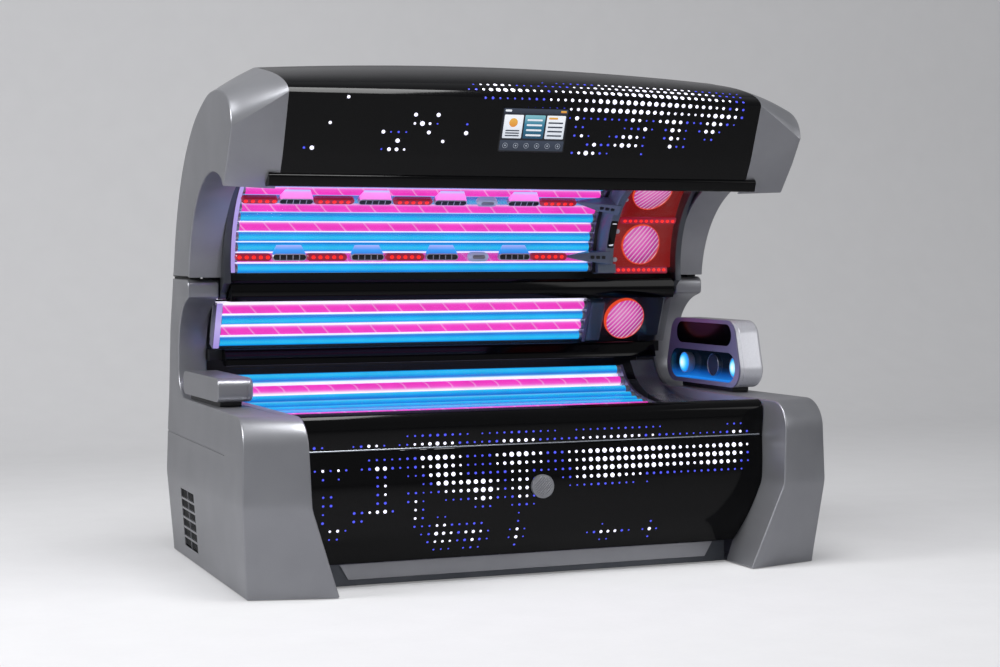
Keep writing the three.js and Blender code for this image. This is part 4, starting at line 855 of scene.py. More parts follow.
# Partition: two wings reach into the bay at the strips, with a row of keys between them
dress("canopy_partition", PARTITION, 3.0)
arc_sheet("canopy_partition_foot", "canopy_partition", PARTITION, BAY, (372, 423), (-5.5, 0.3), *PARTITION_X, False, 8)
arc_sheet("canopy_partition_flange", "canopy_partition", SATIN, BAY, (396.5, 399.4), (-5, 114), 592, 606.5, False)
WING = [(470, 5, 10), (560, 22, 42), (650, 32, 60)]


def wing():
    """A fin whose half width and height grow towards the partition, as a rounded section carried along X."""
    rings = []
    for x, half, height in WING:
        ring = rounded((-half, half, 0.5, height), 3.5)
        rings.append(np.column_stack([np.full(len(ring), x), ring]))
    return stacked(rings)


for like, angle in (("lower", 5), ("upper", 42)):
    spot = bay_spot(angle)
    set_on(f"partition_wing_{like}", "canopy_partition", PARTITION, [wing()], spot)
    slots_on = []
    for x in (572, 596, 620):
        top = np.interp(x, [w[0] for w in WING], [w[2] for w in WING])
        slots_on.append(pad((x - 9, x + 9, -8, 8), 4, [(0, top - 6), (0, top + 2.2)], 3))
    set_on(f"partition_wing_vents_{like}", "canopy_partition", SATIN, slots_on, spot)
key_spot = bay_spot(22, 345)
set_on("partition_keypad", "canopy_partition", GLOSS, [pad((632, 663, -62, 62), 6, [(0, -1), (0, 2), (1, 2.6)])], key_spot)
# The white keys are made to glow: the white is theirs, the glow on it is painted light.
KEY_WHITE_PAINTED_GLOW = glow("key_print_painted_glow", [(0.0, "d8dce4"), (1.0, "eef0f4")], 0.7, "b0b4bc")
keys = [pad((637, 658, v - 8, v + 8), 5, [(0, 2), (0, 4.5)], 4) for v in (-44, -15, 15, 44)]
set_on("partition_keys", "canopy_partition", KEY_WHITE_PAINTED_GLOW, keys, key_spot)
end_pads = [dot(697, 0, 10, 0, 9)]
for i, angle in enumerate((3, 21, 44)):
    set_on(f"partition_sensor_{i}", "canopy_partition", PEARL, end_pads, bay_spot(angle, 400))

# Face bay, lit red
# The face bay's reflector panel glows red: painted red lamp light, darker round the middle of its lit side.
RED_PAINTED_GLOW_PANEL = glow("face_panel_painted_red_glow", [(0.0, "a01a18"), (0.25, "7c1614"), (0.5, "a82422"), (1.0, "841818")], 0.75, "501412")
LENS_RIBS = (0.021, 0.0, 0.4, 0.9, "fff2fc")
LENS_COLORS = [(0.0, "ff8fdc"), (0.25, "f55cca"), (0.5, "e03cb4"), (0.78, "c22ca0"), (1.0, "ff5a48")]
LENS_GLOW = glow("face_lamp_glass", LENS_COLORS, 0.9, streak=LENS_RIBS)
RIM_GLOW = glow("face_lamp_rim", [(0.0, "ff3020"), (1.0, "ff6a3a")], 0.9, "602018")
arc_sheet("face_panel_sheet", "face_panel", RED_PAINTED_GLOW_PANEL, BAY, LIT_SIDE, REFLECTOR_ARC, 690.3, BAY_X)
arc_sheet("face_panel_back", "face_panel", SATIN, BAY, BACK_SIDE, REFLECTOR_ARC, 690.3, BAY_X, False)


def lens(radius, back, rim, rise, pitch=21):
    """A round lamp: height rim + rise (1 - q2) at a share q of its radius, with slanted ribs of a pitch pressed into it,
    closed by a straight side and a back. The map's U runs across the ribs and V grows outwards and to one side."""
    sides = 96
    turn = np.linspace(0, 2 * math.pi, sides, endpoint=False)
    rings, maps = [], []
    for q in np.linspace(0.02, 1, 30):
        u = radius * q * np.cos(turn)
        v = radius * q * np.sin(turn)
        rib = np.sin(2 * math.pi * (u - 0.8 * v) / pitch) * (q < 0.94)
        rings.append(np.column_stack([u, v, rim + rise * (1 - q * q) + 1.4 * rib]))
        shade = 0.22 + 0.5 * q ** 3 + 0.25 * (u - v) / radius
        maps.append(np.column_stack([(u - 0.8 * v) * 0.001, np.clip(shade, 0, 0.9)]))
    for share in (1.0, 0.02):
        rings.append(np.column_stack([radius * share * np.cos(turn), radius * share * np.sin(turn), np.full(sides, back)]))
        maps.append(np.column_stack([np.zeros(sides), np.ones(sides)]))
    points, faces, _ = stacked(rings)
    return points, faces, np.vstack(maps)


def hoop(inner, outer, back, front):
    """A ring with a rounded front: a section of six points turned about h."""
    middle = (inner + outer) / 2
    section = [(inner, back), (inner, front - 2), (middle, front), (outer, front - 2), (outer, back)]
    turn = np.linspace(0, 2 * math.pi, 56, endpoint=False)
    rings = [np.column_stack([r * np.cos(turn), r * np.sin(turn), np.full(56, h)]) for r, h in [*section, section[0]]]
    points = np.vstack(rings)
    return points, grid_faces(len(rings), 56, True), np.column_stack([points[:, 0] * 0.001, np.full(len(points), 0.5)])


for like, angle in (("face_lamp_lower", 11.2), ("face_lamp_upper", 43.5)):
    spot = bay_spot(angle, 452, 841.85)
    set_on(f"{like}_lens", like, LENS_GLOW, [lens(86, 1, 11, 7)], spot, True)
    set_on(f"{like}_rim", like, RIM_GLOW, [hoop(86.2, 89.5, 1, 14)], spot)
for i, (angle, x0, x1) in enumerate(((-3.6, 693, 948), (28.4, 702, 966))):
    bar = pad((x0, x1, -15, 15), 8, [(0, 0), (0, 7), (3, 10)])
    set_on(f"face_bar_{i}", "face_panel", RED_LENS, [bar], bay_spot(angle))
    lit = [dot(x, 0, 7.5, 8, 12) for x in np.linspace(x0 + 18, x1 - 18, 10)]
    set_on(f"face_bar_leds_{i}", "face_panel", RED_DOT, lit, bay_spot(angle))

# Side bay
dress("side_partition", PARTITION, 12.0)
side_lamp_spot = side_spot(SIDE_LAMP_X, 54.7, -116)
set_on("side_face_lamp_lens", "side_face_lamp", LENS_GLOW, [lens(89, 0, 28, 6)], side_lamp_spot, True)
set_on("side_face_lamp_rim", "side_face_lamp", RIM_GLOW, [hoop(89.2, 92, 0, 30)], side_lamp_spot)
# The side reflector glows with the same painted reflected lamp light.
painted_glow_back = pad((-1016, SIDE_END, -205, -8), 2, [(0, 1), (0, 4)])
set_on("side_reflector_painted_glow", "side_reflector", PAINTED_REFLECTOR_GLOW, [painted_glow_back], side_spot(0, 55, 0))
for end, x0 in (("foot", -1024), ("head", 629)):
    holder = pad((x0, x0 + 12, -209, -24), 1, [(0, 0.5), (0, 50)])
    set_on(f"side_lamp_holder_{end}", "side_lamps", LAVENDER, [holder], side_spot(0, 55, 0))
surround = pad((718, 1018, -205, -24), 8, [(0, 0), (0, 5), (1, 6)])
SURROUND = surface("lamp_surround", "2e3440", "3d4552", 0.22, 0.2, 0.3, 3.3, 0.03)
set_on("side_surround", "side_reflector", SURROUND, [surround], side_spot(0, 55, 0))

# Pale bands at the foot end of the bays, made to glow lavender and palest along their middle: painted lamp light
END_BAND_PAINTED_GLOW = glow("end_band_painted_glow", [(0.0, "a58fd8"), (0.5, "c9b8ee"), (1.0, "a58fd8")], 0.75, "8a80b0")
arc_sheet("canopy_end_band", "canopy_acrylic", END_BAND_PAINTED_GLOW, BAY, (397, 399.6), (-4, 114), -BAY_X, -978, False)
band = pad((-1024, -1000, -204, -8), 3, [(0, 0.5), (0, 2.5)])
set_on("side_end_band", "side_acrylic", END_BAND_PAINTED_GLOW, [band], side_spot(0, 0, 0))


# Surfaces that carry lights: the canopy's fascia, and the front panel under its lip
FASCIA = RIM[2:]
fascia_run = np.concatenate([[0], np.cumsum(np.linalg.norm(np.diff(FASCIA, axis=0), axis=1))])
fascia_along = np.gradient(FASCIA, axis=0)
fascia_out = np.column_stack([-fascia_along[:, 1], fascia_along[:, 0]]) / np.linalg.norm(fascia_along, axis=1)[:, None]


def fascia_spot(p):
    """Canopy skin: v runs up the fascia from its lower edge and over the rolled top, h stands off it."""
    y, z = (np.interp(p[:, 1], fascia_run, c) for c in FASCIA.T)
    ny, nz = (np.interp(p[:, 1], fascia_run, c) for c in fascia_out.T)
    z = z + canopy_lift(p[:, 0] / RIM_X, z)
    return np.column_stack([p[:, 0], y + ny * p[:, 2], z + nz * p[:, 2]])


PANEL_SIDE = catmull([(-531, 590), (-540, 511), (-550, 430), (-553, 355), (-546, 270), (-522, 180), (-478, 92)], 8)[::-1]
LIP_FRONT = np.array([(-540, 511.9), (-546, 580)])


def front_spot(p):
    """Front panel and, above it, the lip: v is the height, h stands off to the front."""
    panel = np.interp(p[:, 1], PANEL_SIDE[:, 1], PANEL_SIDE[:, 0])
    lip = np.interp(p[:, 1], LIP_FRONT[:, 1], LIP_FRONT[:, 0])
    return np.column_stack([p[:, 0], np.where(p[:, 1] < PANEL_Z[1], panel, lip) - p[:, 2], p[:, 1]])


LED_COLUMNS = np.arange(-900, 901, 30)
LED_PITCH = 32
flicker = np.random.default_rng(7)
WHITE_LED = glow("white_led", [(0.0, "dcd8ff"), (0.5, "ffffff"), (1.0, "dcd8ff")], 1.2, "c8c8d8")
BLUE_LED = glow("blue_led", [(0.0, "2c30e4"), (0.5, "5c68ff"), (1.0, "2c30e4")], 0.95, "303090")


def led_field(clouds, rows, bow=0.0):
    """Lights on a grid. Their strength is a sum of bells k exp(-(du / a)2 - (dv / b)2), one for each cloud
    (u, v, a, b, k): strong ones are white and large, weak ones blue and small. Rows bow up in the middle, the first
    not at all and each one by bow more than the last."""
    u, v = (grid.ravel() for grid in np.meshgrid(LED_COLUMNS, rows))
    power = sum(k * np.exp(-((u - cu) / a) ** 2 - ((v - cv) / b) ** 2) for cu, cv, a, b, k in clouds)
    power = power * flicker.uniform(0.8, 1.15, len(u))
    v = v + bow * (v - rows[0]) / LED_PITCH * (1 - (u / LED_COLUMNS[-1]) ** 2)
    white = [dot(x, s, 4.2 + 5.0 * min(p - 0.55, 0.7) / 0.7, -0.5, 1.4) for x, s, p in zip(u, v, power) if p > 0.55]
    blue = [dot(x, s, 3.0 + 6 * (p - 0.14), -0.5, 1.2) for x, s, p in zip(u, v, power) if 0.14 < p <= 0.55]
    return white, blue


FASCIA_CLOUDS = [
    (-870, 16, 15, 12, 1.0), (-900, 16, 10, 12, 0.4), (-810, 112, 15, 12, 1.0), (-750, 208, 20, 12, 1.0),
    (-555, 16, 34, 12, 1.3), (-510, 16, 10, 12, 0.4), (-540, 48, 20, 12, 1.1), (-600, 80, 15, 12, 1.0),
    (-540, 80, 40, 12, 0.35), (-420, 80, 20, 12, 1.0), (-450, 112, 44, 12, 1.1), (-480, 144, 15, 12, 1.0),
    (-390, 144, 20, 12, 1.0), (-360, 48, 15, 12, 1.0), (-270, 80, 15, 12, 1.0), (-270, 112, 12, 12, 0.4),
    (385, 176, 265, 12, 1.6), (810, 176, 95, 12, 1.2), (180, 144, 18, 12, 0.9), (300, 144, 130, 12, 0.4),
    (430, 144, 32, 12, 0.9), (590, 144, 75, 12, 1.1), (785, 144, 58, 12, 1.2), (195, 112, 40, 12, 0.35),
    (477, 112, 28, 12, 1.0), (415, 112, 25, 12, 0.4), (612, 112, 42, 12, 1.1), (762, 112, 42, 12, 1.1),
    (205, 80, 28, 12, 1.0), (412, 80, 60, 12, 1.1), (607, 80, 42, 12, 1.1), (772, 80, 30, 12, 0.4),
    (261, 48, 30, 12, 0.9), (320, 48, 40, 12, 0.35), (410, 48, 60, 12, 1.2), (602, 48, 20, 12, 0.9),
    (648, 48, 28, 12, 0.4), (242, 16, 62, 12, 1.2), (476, 16, 20, 12, 0.4), (480, 208, 440, 12, 1.3),
    (480, 240, 430, 12, 1.3), (490, 272, 400, 12, 1.1), (520, 304, 330, 12, 0.9), (-120, 240, 105, 12, 1.3),
    (-150, 272, 75, 12, 0.9), (-190, 208, 30, 12, 0.4),
]
FRONT_CLOUDS = [
    (-420, 495, 110, 75, 1.3), (-400, 405, 52, 40, 0.9), (-300, 370, 105, 42, 1.0), (-230, 345, 48, 54, 1.1),
    (-100, 490, 112, 72, 1.3), (-75, 345, 52, 60, 1.0), (330, 475, 225, 74, 1.4), (250, 395, 115, 42, 1.0),
    (500, 440, 135, 52, 1.1), (760, 445, 125, 58, 1.3), (850, 505, 52, 52, 1.1), (-690, 520, 52, 26, 0.9),
    (-650, 455, 64, 22, 0.9), (-640, 370, 28, 60, 0.9), (-650, 290, 54, 22, 1.0), (-520, 330, 28, 30, 0.8),
    (-500, 262, 24, 40, 0.8), (-870, 440, 28, 24, 0.9), (-800, 440, 26, 22, 0.7), (-850, 335, 26, 26, 0.9),
    (-880, 262, 26, 26, 0.7), (-740, 270, 26, 24, 1.0), (-820, 215, 34, 22, 1.0), (-900, 520, 34, 24, 0.7),
    (-400, 190, 58, 50, 1.0), (-270, 180, 54, 48, 1.0), (-90, 175, 24, 48, 0.9), (300, 160, 74, 24, 0.9),
    (480, 160, 26, 30, 0.9),
]

fascia_lights = led_field(FASCIA_CLOUDS, np.arange(16, 330, LED_PITCH), 3.0)
panel_lights = led_field(FRONT_CLOUDS, np.arange(128, 490, LED_PITCH))
lip_lights = led_field(FRONT_CLOUDS, np.arange(532, 570, LED_PITCH))
for like, lights, spot in (
    ("canopy_shell", fascia_lights, fascia_spot), ("front_panel", panel_lights, front_spot), ("front_lip", lip_lights, front_spot),
):
    set_on(f"{like}_white_leds", like, WHITE_LED, lights[0], spot)
    set_on(f"{like}_blue_leds", like, BLUE_LED, lights[1], spot)

# Front panel and lip
panel_half = inner_x(PANEL_SIDE[:, 1]) - 0.9 - np.interp(PANEL_SIDE[:, 1], [PANEL_Z[0], PANEL_Z[0] + 90], [1.4, 0])


def bowed_panel(columns=13):
    """Front panel: the side's curve carried along X to the covers' inner faces at each height, 4 thick."""
    shares = np.linspace(-1, 1, columns)
    rings = []
    for share in shares:
        front = np.column_stack([panel_half * share, PANEL_SIDE])
        rear = front + (0, 4, 0)
        rings.append(np.vstack([front, rear[::-1]]))
    count = len(rings[0])
    faces = grid_faces(columns, count, True)
    for start in (0, (columns - 1) * count):
        faces += [(start + i, start + i + 1, start + count - 2 - i, start + count - 1 - i) for i in range(len(PANEL_SIDE) - 1)]
    return np.vstack(rings), faces


build("front_panel_sheet", *bowed_panel(), GLOSS, "front_panel")
LIP = np.vstack([
    [(-500, 511.9), (-534, 511.9)], turned(-534, 517.9, 6, 270, 185, 6), [(-546, 580)],
    turned(-500, 610, 46, 170, 95, 14), [(-486, 652)],
])
path_sheet("front_lip_roll", "front_lip", GLOSS, LIP, 0, 5, -970.4, 970.4)
trim = pad((-958, 958, 515.5, 520), 2, [(0, -0.5), (0, 1.2), (0.6, 1.8)])
set_on("front_lip_trim", "front_lip", ZINC, [trim], front_spot)
dress("front_panel_knob", SILVER, 3.0)
KNOB_Z = 355


def knob_spot(p):
    """Face of the knob, turned 45 degrees about its axis."""
    lean = math.radians(45)
    x = p[:, 0] * math.cos(lean) - p[:, 1] * math.sin(lean)
    z = p[:, 0] * math.sin(lean) + p[:, 1] * math.cos(lean)
    return np.column_stack([x, -571.6 - p[:, 2], KNOB_Z + z])


ribs = []
for v in np.arange(-32, 33, 8.0):
    reach = math.sqrt(39 ** 2 - v ** 2)
    ribs.append(pad((-reach, reach, v - 2.4, v + 2.4), 2.4, [(0, -1), (0, 1.6), (1.2, 2.6)]))
set_on("front_panel_knob_ribs", "front_panel_knob", SILVER, ribs, knob_spot)

# Touch screen with a plain control page
GLASS = surface("screen_glass", "040507", "07080b", 0.06, 0.0, 0.2, 16.0, 0.01, shine=0.3)
PAGE = glow("screen_page", [(0.0, "0d1018"), (1.0, "1d2433")], 0.8, "08090c")
BAR = glow("screen_bar", [(0.0, "2b3342"), (1.0, "3a4456")], 0.8, "101218")
CARD = glow("screen_card", [(0.0, "cfd6e0"), (1.0, "f0f3f7")], 0.8, "a0a4aa")
TEAL = glow("screen_teal", [(0.0, "173f5c"), (0.6, "2f7fa0"), (1.0, "8fd0dc")], 0.8, "12303c")
AMBER = glow("screen_amber", [(0.0, "e08a2e"), (1.0, "f2c25a")], 0.8, "6a4010")
MARK = glow("screen_mark", [(0.0, "8b93a0"), (1.0, "b4bac4")], 0.8, "60646c")
SCREEN_U = (-133, 143)
SCREEN_V = (15.7, 193.7)


def flat(u0, u1, v0, v1, level, radius=3.0):
    """A flat shape on the screen at a level."""
    return pad((u0, u1, v0, v1), radius, [(0, 1.4), (0, 1.7 + 0.25 * level)], 4)


glass = pad((*SCREEN_U, *SCREEN_V), 7, [(0, -3), (0, 0.8), (1.2, 1.6)])
set_on("touch_screen_glass", "touch_screen", GLASS, [glass], fascia_spot, True)
pages = [
    ("page", PAGE, [flat(-128, 138, 21, 188, 0)]),
    ("bars", BAR, [flat(-128, 138, 170, 188, 1), flat(-128, 138, 21, 62, 1)]),
    ("cards", CARD, [flat(-122, -44, 70, 163, 1), flat(54, 132, 70, 163, 1), flat(-122, -96, 175, 183, 2)]),
    ("view", TEAL, [flat(-37, 47, 70, 163, 1)]),
    ("amber", AMBER, [dot(-83, 132, 20, 1.4, 2.4), flat(108, 132, 175, 183, 2), flat(62, 100, 148, 156, 2)]),
    ("lines", BAR, [flat(-112, -54, v, v + 5, 2, 2) for v in (78, 88, 98)] + [flat(62, 124, v, v + 6, 2, 2) for v in (80, 97, 114, 131)]),
    ("slides", CARD, [flat(-27, 37, v, v + 7, 2, 3) for v in (80, 100, 120, 140)]),
]
for tag, material, shapes in pages:
    set_on(f"touch_screen_{tag}", "touch_screen", material, shapes, fascia_spot)
icons = []
for i in range(6):
    points, faces, uv = hoop(8, 11.5, 1.4, 4.3)
    icons.append((points * (1, 1, 0.55) + (-105 + 44 * i, 41, 0), faces, uv))
    icons.append(dot(-105 + 44 * i, 41, 3.6, 1.4, 2.4))
set_on("touch_screen_icons", "touch_screen", MARK, icons, fascia_spot)


# Head console
CONSOLE_Y = 73
CONSOLE_Z = (678, 957)
CONSOLE_X = (1030, 1036, 1150)
CONSOLE_HALF = 322
CONSOLE_SHOULDER = 287
CONSOLE_CORNER = 75
RECESS = (73, 759, 574, 126)
RECESS_BACK = 1094
DISPLAY = (63, 895, 484, 92)
NOZZLE_X = 1080
NOZZLE_RADIUS = 46
NOZZLE_SPREAD = 224


def console_outline(inset):
    """Outline of the console in Y and Z: four arcs, the upper pair nearer together, joined by leaning sides."""
    r = CONSOLE_CORNER - inset
    low, high = CONSOLE_Z[0] + inset + r, CONSOLE_Z[1] - inset - r
    foot, head = CONSOLE_HALF - inset - r, CONSOLE_SHOULDER - inset - r
    return np.vstack([
        turned(CONSOLE_Y + foot, low, r, -90, 15, 14), turned(CONSOLE_Y + head, high, r, 15, 90, 12),
        turned(CONSOLE_Y - head, high, r, 90, 165, 12), turned(CONSOLE_Y - foot, low, r, 165, 270, 14),
    ])


def console_spot(x0):
    """A plane across the console: u is Y, v is Z and h runs to the user's side."""
    def spot(p):
        return np.column_stack([x0 - p[:, 2], p[:, 0], p[:, 1]])
    return spot


def carried(stations):
    """A body through console outlines at (height, inset) stations."""
    return stacked([np.column_stack([console_outline(i), np.full(52, h)]) for h, i in stations])


def pill_box(y, z, width, height):
    """Box of a pill about its middle."""
    return y - width / 2, y + width / 2, z - height / 2, z + height / 2


quarter = np.radians(np.linspace(0, 90, 6))
back = [(-120 + 18 * (1 - math.sin(a)), 18 * (1 - math.cos(a))) for a in quarter[::-1]]
SEAM = [(-24, 0), (-22.6, 1.6), (-20.4, 1.6), (-19, 0)]
shell = set_on(
    "console_shell_body", "console_shell", PEARL, [carried([*back, *SEAM, (-7.5, 0), (-6.3, 1.2)])], console_spot(1030), True,
)
neck = pad((-150, 296, 658.3, 688), 5, [(0, -100), (0, -26)])
set_on("console_neck", "console_shell", SATIN, [neck], console_spot(1030))
front = [(-4 * math.sin(a), 4 * (1 - math.cos(a))) for a in quarter]
face = set_on("console_face_plate", "console_face", LAVENDER, [carried([(-6, 0), *front[::-1]])], console_spot(1030), True)
recess_hole, recess_faces, _ = pad(pill_box(*RECESS), RECESS[3] / 2, [(0, -9), (0, 4)], 12)
display_hole, display_faces, _ = pad(pill_box(*DISPLAY), DISPLAY[3] / 2, [(0, -2), (0, 4)], 12)
subtract(face, (console_spot(1030)(recess_hole), recess_faces), (console_spot(1030)(display_hole), display_faces))
pocket, pocket_faces, _ = pad(pill_box(*RECESS), RECESS[3] / 2, [(0, -70), (0, 4)], 12)
subtract(shell, (console_spot(1030)(pocket), pocket_faces))
display = pad(pill_box(*DISPLAY), DISPLAY[3] / 2, [(0.6, -5.5), (0.6, -1.2), (1.4, -0.6)], 12)
DARK_GLASS = surface("tinted_glass", "020203", "040405", 0.12, 0.0, 0.0, 16.0, 0.01, shine=0.1)
set_on("console_display_glass", "console_display", DARK_GLASS, [display], console_spot(1030), True)
# The recess lining glows: a painted band of blue light along its lower edge, with painted shade darkening it to near
# black above.
RECESS_PAINTED_BLUE_LIGHT = glow(
    "recess_lining_painted_light", [(0.0, "1f7fe0"), (0.16, "0f5cb8"), (0.3, "0a2f5e"), (0.45, "06121f"), (1.0, "050d18")], 0.75, "081018", 0.15,
)


def recess_cup():
    """Lining of the recess: a pill drawn back to its depth, with a wall 3 thick."""
    depth = CONSOLE_X[0] - RECESS_BACK
    radius = RECESS[3] / 2
    box = pill_box(*RECESS)
    steps = [(0, -1), (0, depth - 3), (3, depth - 3), (3, depth), (3, -1)]
    rings = []
    for inset, height in (steps[1], steps[0], (3, -1), (3, depth)):
        u0, u1, v0, v1 = box
        ring = rounded((u0 + inset, u1 - inset, v0 + inset, v1 - inset), radius - inset, 12)
        rings.append(np.column_stack([ring, np.full(len(ring), height)]))
    return stacked(rings)


set_on("console_recess", "console_face", RECESS_PAINTED_BLUE_LIGHT, [recess_cup()], console_spot(1030))
DISC = surface("smoked_glass", "3c4658", "566178", 0.12, 0.3, 0.3, 12.0, 0.02)
disc = pad(pill_box(73, 759, 92, 92), 46, [(0, 0.2), (0, 9), (2, 11)], 12)
set_on("console_disc", "console_face", DISC, [disc], console_spot(RECESS_BACK))
points, faces, uv = hoop(45, 49, 0.2, 12)
set_on("console_disc_rim", "console_face", ZINC, [(points + (73, 759, 0), faces, uv)], console_spot(RECESS_BACK))
NOZZLE_GLOW = glow("nozzle_light", [(0.0, "ffffff"), (0.35, "bdf3ff"), (0.7, "3cc4ff"), (1.0, "1477e6")], 1.1, "203850")


def turned_body(section, sides=40):
    """A section of (radius, height) points turned about h."""
    turn = np.linspace(0, 2 * math.pi, sides, endpoint=False)
    rings = [np.column_stack([r * np.cos(turn), r * np.sin(turn), np.full(sides, h)]) for r, h in section]
    points, faces, _ = stacked(rings)
    far = np.hypot(points[:, 0], points[:, 1])
    return points, faces, np.column_stack([points[:, 0] * 0.001, far / far.max()])


BALL = [(NOZZLE_RADIUS * math.cos(a), NOZZLE_RADIUS * math.sin(a)) for a in np.radians(np.linspace(-86, 4, 16))]
BALL += [(46, 14), (45, 16.5), (43.4, 16.5), (42.4, 14), (42.2, 10), (0.6, 9)]
LENS = [(0.6, 8), (42, 8), (42, 14), (38, 19), (29, 24), (16, 27.5), (0.6, 29)]
for like, side in (("nozzle_front", -1), ("nozzle_rear", 1)):
    middle = (CONSOLE_Y + side * NOZZLE_SPREAD, RECESS[1], 0)
    for tag, material, section, stands in (("ball", PEARL, BALL, True), ("lens", NOZZLE_GLOW, LENS, False)):
        points, faces, uv = turned_body(section)
        set_on(f"{like}_{tag}", like, material, [(points + middle, faces, uv)], console_spot(NOZZLE_X), stands)

# Foot pod on its neck
POD_X = (-1156, -1018)
POD_YZ = (-160, 386, 678, 770)


def pod_spot(p):
    """Across the pod: u is Y, v is Z and h runs from its outer end to its inner one."""
    return np.column_stack([POD_X[0] + p[:, 2], p[:, 0], p[:, 1]])


length = POD_X[1] - POD_X[0]
outer = [(4 * (1 - math.sin(a)), 4 * (1 - math.cos(a))) for a in quarter]
inner = [(12 * (1 - math.cos(a)), length - 12 * (1 - math.sin(a))) for a in quarter]
pod_steps = [(i, h) for h, i in outer[::-1]] + [(0, length - 25), (1.5, length - 24), (1.5, length - 22), (0, length - 21)] + inner
set_on("foot_pod_body", "foot_pod", SILVER, [pad(POD_YZ, 34, pod_steps, 12)], pod_spot, True)
set_on("foot_pod_neck", "foot_pod", SATIN, [pad((-112, 338, 658.3, 690), 6, [(0, 20), (0, 104)])], pod_spot)


# Vent grilles: blocks of slats behind silver bars
def side_face(p):
    """Outer face of the head end's cover: u is Y, v is Z and h stands off it."""
    return np.column_stack([side_x(p[:, 0], p[:, 1]) + p[:, 2], p[:, 0], p[:, 1]])


VENT_BLOCKS = 6
VENT_SLATS = 5
step = (VENT_Z[1] - VENT_Z[0]) / VENT_BLOCKS
panel = pad((VENT_Y[0] + 0.5, VENT_Y[1] - 0.5, VENT_Z[0] + 0.5, VENT_Z[1] - 0.5), 2, [(0, -16), (0, -13)])
bars = [pad(((sum(VENT_Y)) / 2 - 3, (sum(VENT_Y)) / 2 + 3, VENT_Z[0] + 1, VENT_Z[1] - 1), 1, [(0, -13), (0, -1)], 3)]
slats = []
for block_index in range(VENT_BLOCKS):
    low = VENT_Z[0] + block_index * step
    if block_index:
        bars.append(pad((VENT_Y[0] + 1, VENT_Y[1] - 1, low - 4.5, low + 4.5), 1, [(0, -13), (0, -1), (0.6, -0.4)], 3))
    for k in range(VENT_SLATS):
        v = low + 5.5 + (step - 11) * (k + 0.5) / VENT_SLATS
        slats.append(pad((VENT_Y[0] + 1, VENT_Y[1] - 1, v - 1.5, v + 1.5), 1, [(0, -13), (0, -5), (0.8, -4)], 3))
for tag, material, parts, stands in (("panel", RUBBER, [panel], True), ("slats", SATIN, slats, False), ("bars", SILVER, bars, False)):
    piece = set_on(f"vent_right_{tag}", "vent_grille_right", material, parts, side_face, stands)
    mirror(piece, f"vent_left_{tag}", "vent_grille_left")


# Rails: rounded bars with a fine line along the front
LOW_RAIL = [(396, 781), (440, 781), (470, 800), (540, 800), (540, 848), (425, 848), (405, 806)]


def rail(section, half, radius=6.0, steps=5):
    """A bar along X whose section's corners are rounded by a quadratic curve from radius before to radius after."""
    corners = np.array(section, float)
    before = np.roll(corners, 1, 0) - corners
    after = np.roll(corners, -1, 0) - corners
    before *= (radius / np.linalg.norm(before, axis=1))[:, None]
    after *= (radius / np.linalg.norm(after, axis=1))[:, None]
    ring = np.vstack([bezier(c + b, c, c + a, steps) for c, b, a in zip(corners, before, after)])
    return stacked([np.column_stack([np.full(len(ring), x), ring]) for x in (-half, -half + 4, half - 4, half)])


def as_is(p):
    """Points that are already in the bed's frame."""
    return p


set_on("low_rail_bar", "low_rail", GLOSS, [rail(LOW_RAIL, 974)], as_is, True)
KICK = [(-474, 30), (-468.5, 30), (-468.5, 88), (-474, 88)]
KICK_HALF = 782


def slanted(part, lean):
    """A rail whose ends lean in towards its foot: X times 1 - lean (1 - share of the height)."""
    points, faces, uv = part
    share = (points[:, 2] - points[:, 2].min()) / np.ptp(points[:, 2])
    return points * np.column_stack([1 - lean * (1 - share), np.ones((len(points), 2))]), faces, uv


set_on("kick_strip_bar", "kick_strip", SILVER, [slanted(rail(KICK, KICK_HALF, 1.5), 0.044)], as_is, True)
SEAT = [(471, 801), (540, 801), (540, 847), (471, 847)]
set_on("low_rail_seat", "low_rail", SATIN, [rail(SEAT, 1025.7, 2.0)], as_is)
SEAM_SEAL = [(338, 1116), (592, 1116), (592, 1143), (338, 1143)]
SEAM_BACK = [(574, 1116), (592, 1116), (592, 1143), (574, 1143)]
for side, like in ((-1, "base_cover_left"), (1, "base_cover_right")):
    seals = []
    for section, middle, half in ((SEAM_SEAL, 1118, 20), (SEAM_BACK, 1066, 31)):
        points, faces, uv = rail(section, half, 2.0)
        seals.append((points + (side * middle, 0, 0), faces, uv))
    set_on(f"{like}_seal", like, RUBBER, seals, as_is)
REAR_SEAL = [(600, 1128), (606, 1128), (606, 1142), (600, 1142)]
BRUSH = [(352, 1129), (358, 1129), (358, 1176), (352, 1176)]
set_on("mid_rail_brush", "mid_rail", RUBBER, [rail(BRUSH, 1012, 1.5)], as_is)
set_on("rear_panel_seal", "rear_panel", RUBBER, [rail(REAR_SEAL, 1018, 1.5)], as_is)
FRONT_RAIL = [(-384, 1540), (-395, 1527), (-383, 1488), (-340, 1488), (-332, 1540)]
set_on("front_rail_bar", "front_rail", GLOSS, [rail(FRONT_RAIL, 1020.7)], as_is, True)


SLOT_COLOR["lamp_glass"] = LAVENDER
SLOT_COLOR["face_lamp_glass"] = LAVENDER


# What is left of the CAD model keeps its form, with softened edges
HIDDEN_EDGE = 1.0
for like in sorted(set(nodes) - made):
    dress(like, CLEAR if slots[like] == "clear_acrylic" else None, HIDDEN_EDGE)

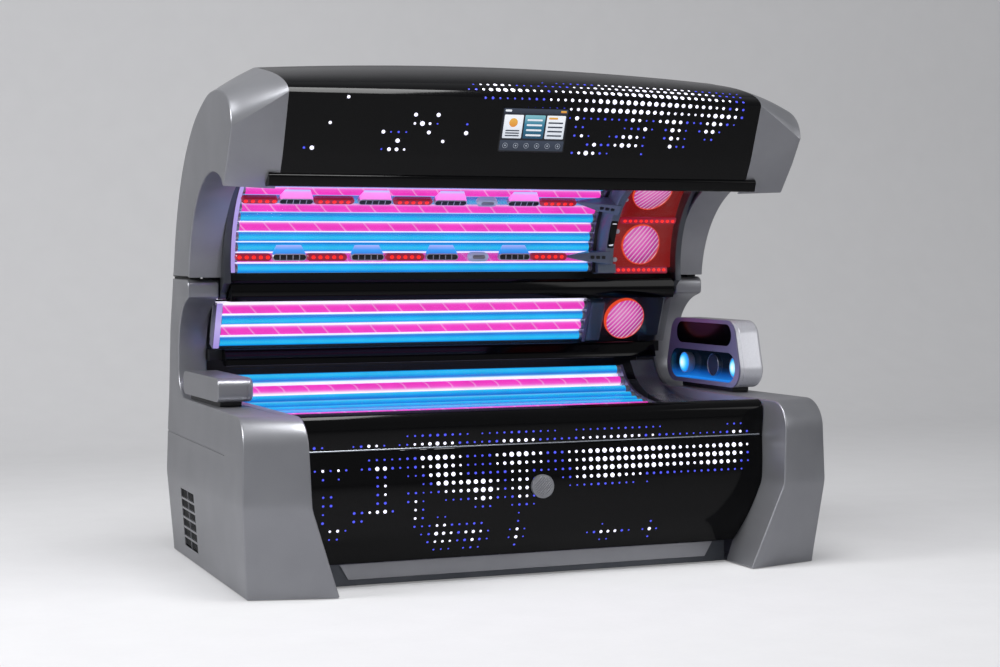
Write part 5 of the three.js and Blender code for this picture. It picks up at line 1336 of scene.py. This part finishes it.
# Studio
# Matt white paper roll. The camera sees it a little lit, so that it stays pale without more light on the bed.
PAPER = surface("studio_paper", "b2b2b4", "bababc", 0.8, 0.0, 0.0, 25.0, 0.02)
paper = PAPER.node_tree
seen = add(paper, "ShaderNodeLightPath")
lift = add(paper, "ShaderNodeMath", {0: seen.outputs["Is Camera Ray"], 1: 0.26}, operation="MULTIPLY")
paper_front = paper.nodes["Principled BSDF"]
join(paper, paper_front, {"Emission Color": linear("f4f4f6"), "Emission Strength": lift.outputs[0]})
# Its back is clear, so that the bed can also be seen from behind.
facing = add(paper, "ShaderNodeNewGeometry")
no_back = add(paper, "ShaderNodeBsdfTransparent")
one_sided = add(
    paper, "ShaderNodeMixShader",
    {0: facing.outputs["Backfacing"], 1: paper_front.outputs[0], 2: no_back.outputs[0]},
)
join(paper, paper.nodes["Material Output"], {"Surface": one_sided.outputs[0]})


def sweep_section(steps=16):
    """Floor and wall of the studio in Y and Z: flat, a quarter circle of radius 2.5 m, then upright."""
    turn = np.linspace(-math.pi / 2, 0, steps)
    bend = np.column_stack([4500 + 2500 * np.cos(turn), 2500 + 2500 * np.sin(turn)])
    return np.vstack([[(-14000, 0)], bend, [(7000, 11000)]])


section = sweep_section()
studio_points = np.array([(x, y, z) for x in (26000, -26000) for y, z in section])
studio_mesh = bpy.data.meshes.new("studio")
studio_mesh.from_pydata((studio_points * 0.001).tolist(), [], grid_faces(2, len(section)))
studio_mesh.shade_smooth()
studio_mesh.materials.append(PAPER)
studio = bpy.data.objects.new("studio", studio_mesh)
bpy.context.scene.collection.objects.link(studio)


def softbox(name, spot, aim, size, power, color=(1, 1, 1)):
    """A square area light at a spot, in metres, turned to an aim point."""
    lamp = bpy.data.lights.new(name, "AREA")
    lamp.size = size
    lamp.energy = power
    lamp.color = color
    box = bpy.data.objects.new(name, lamp)
    box.location = spot
    box.rotation_euler = (Vector(aim) - Vector(spot)).to_track_quat("-Z", "Y").to_euler()
    bpy.context.scene.collection.objects.link(box)


softbox("key", (-6.0, -1.0, 4.2), (-0.3, 0, 1.0), 2.4, 330)
softbox("fill", (5.0, -4.5, 3.0), (0, 0, 1.0), 3.0, 50)
softbox("top", (-0.3, -1.6, 5.0), (0, 0, 0.9), 2.4, 215)

world = bpy.data.worlds.new("studio_air")
bpy.context.scene.world = world
world.use_nodes = True
world.node_tree.nodes["Background"].inputs["Color"].default_value = (0.82, 0.83, 0.86, 1)
world.node_tree.nodes["Background"].inputs["Strength"].default_value = 0.3

camera_data = bpy.data.cameras.new("camera")
camera_data.lens = 72
camera_data.sensor_width = 36
camera = bpy.data.objects.new("camera", camera_data)
camera.location = (-3.0806, -7.4899, 1.2658)
camera.rotation_euler = (math.radians(90 - 2.486), 0, -0.39707)
bpy.context.scene.collection.objects.link(camera)
bpy.context.scene.camera = camera
bpy.context.scene.view_settings.view_transform = "Standard"
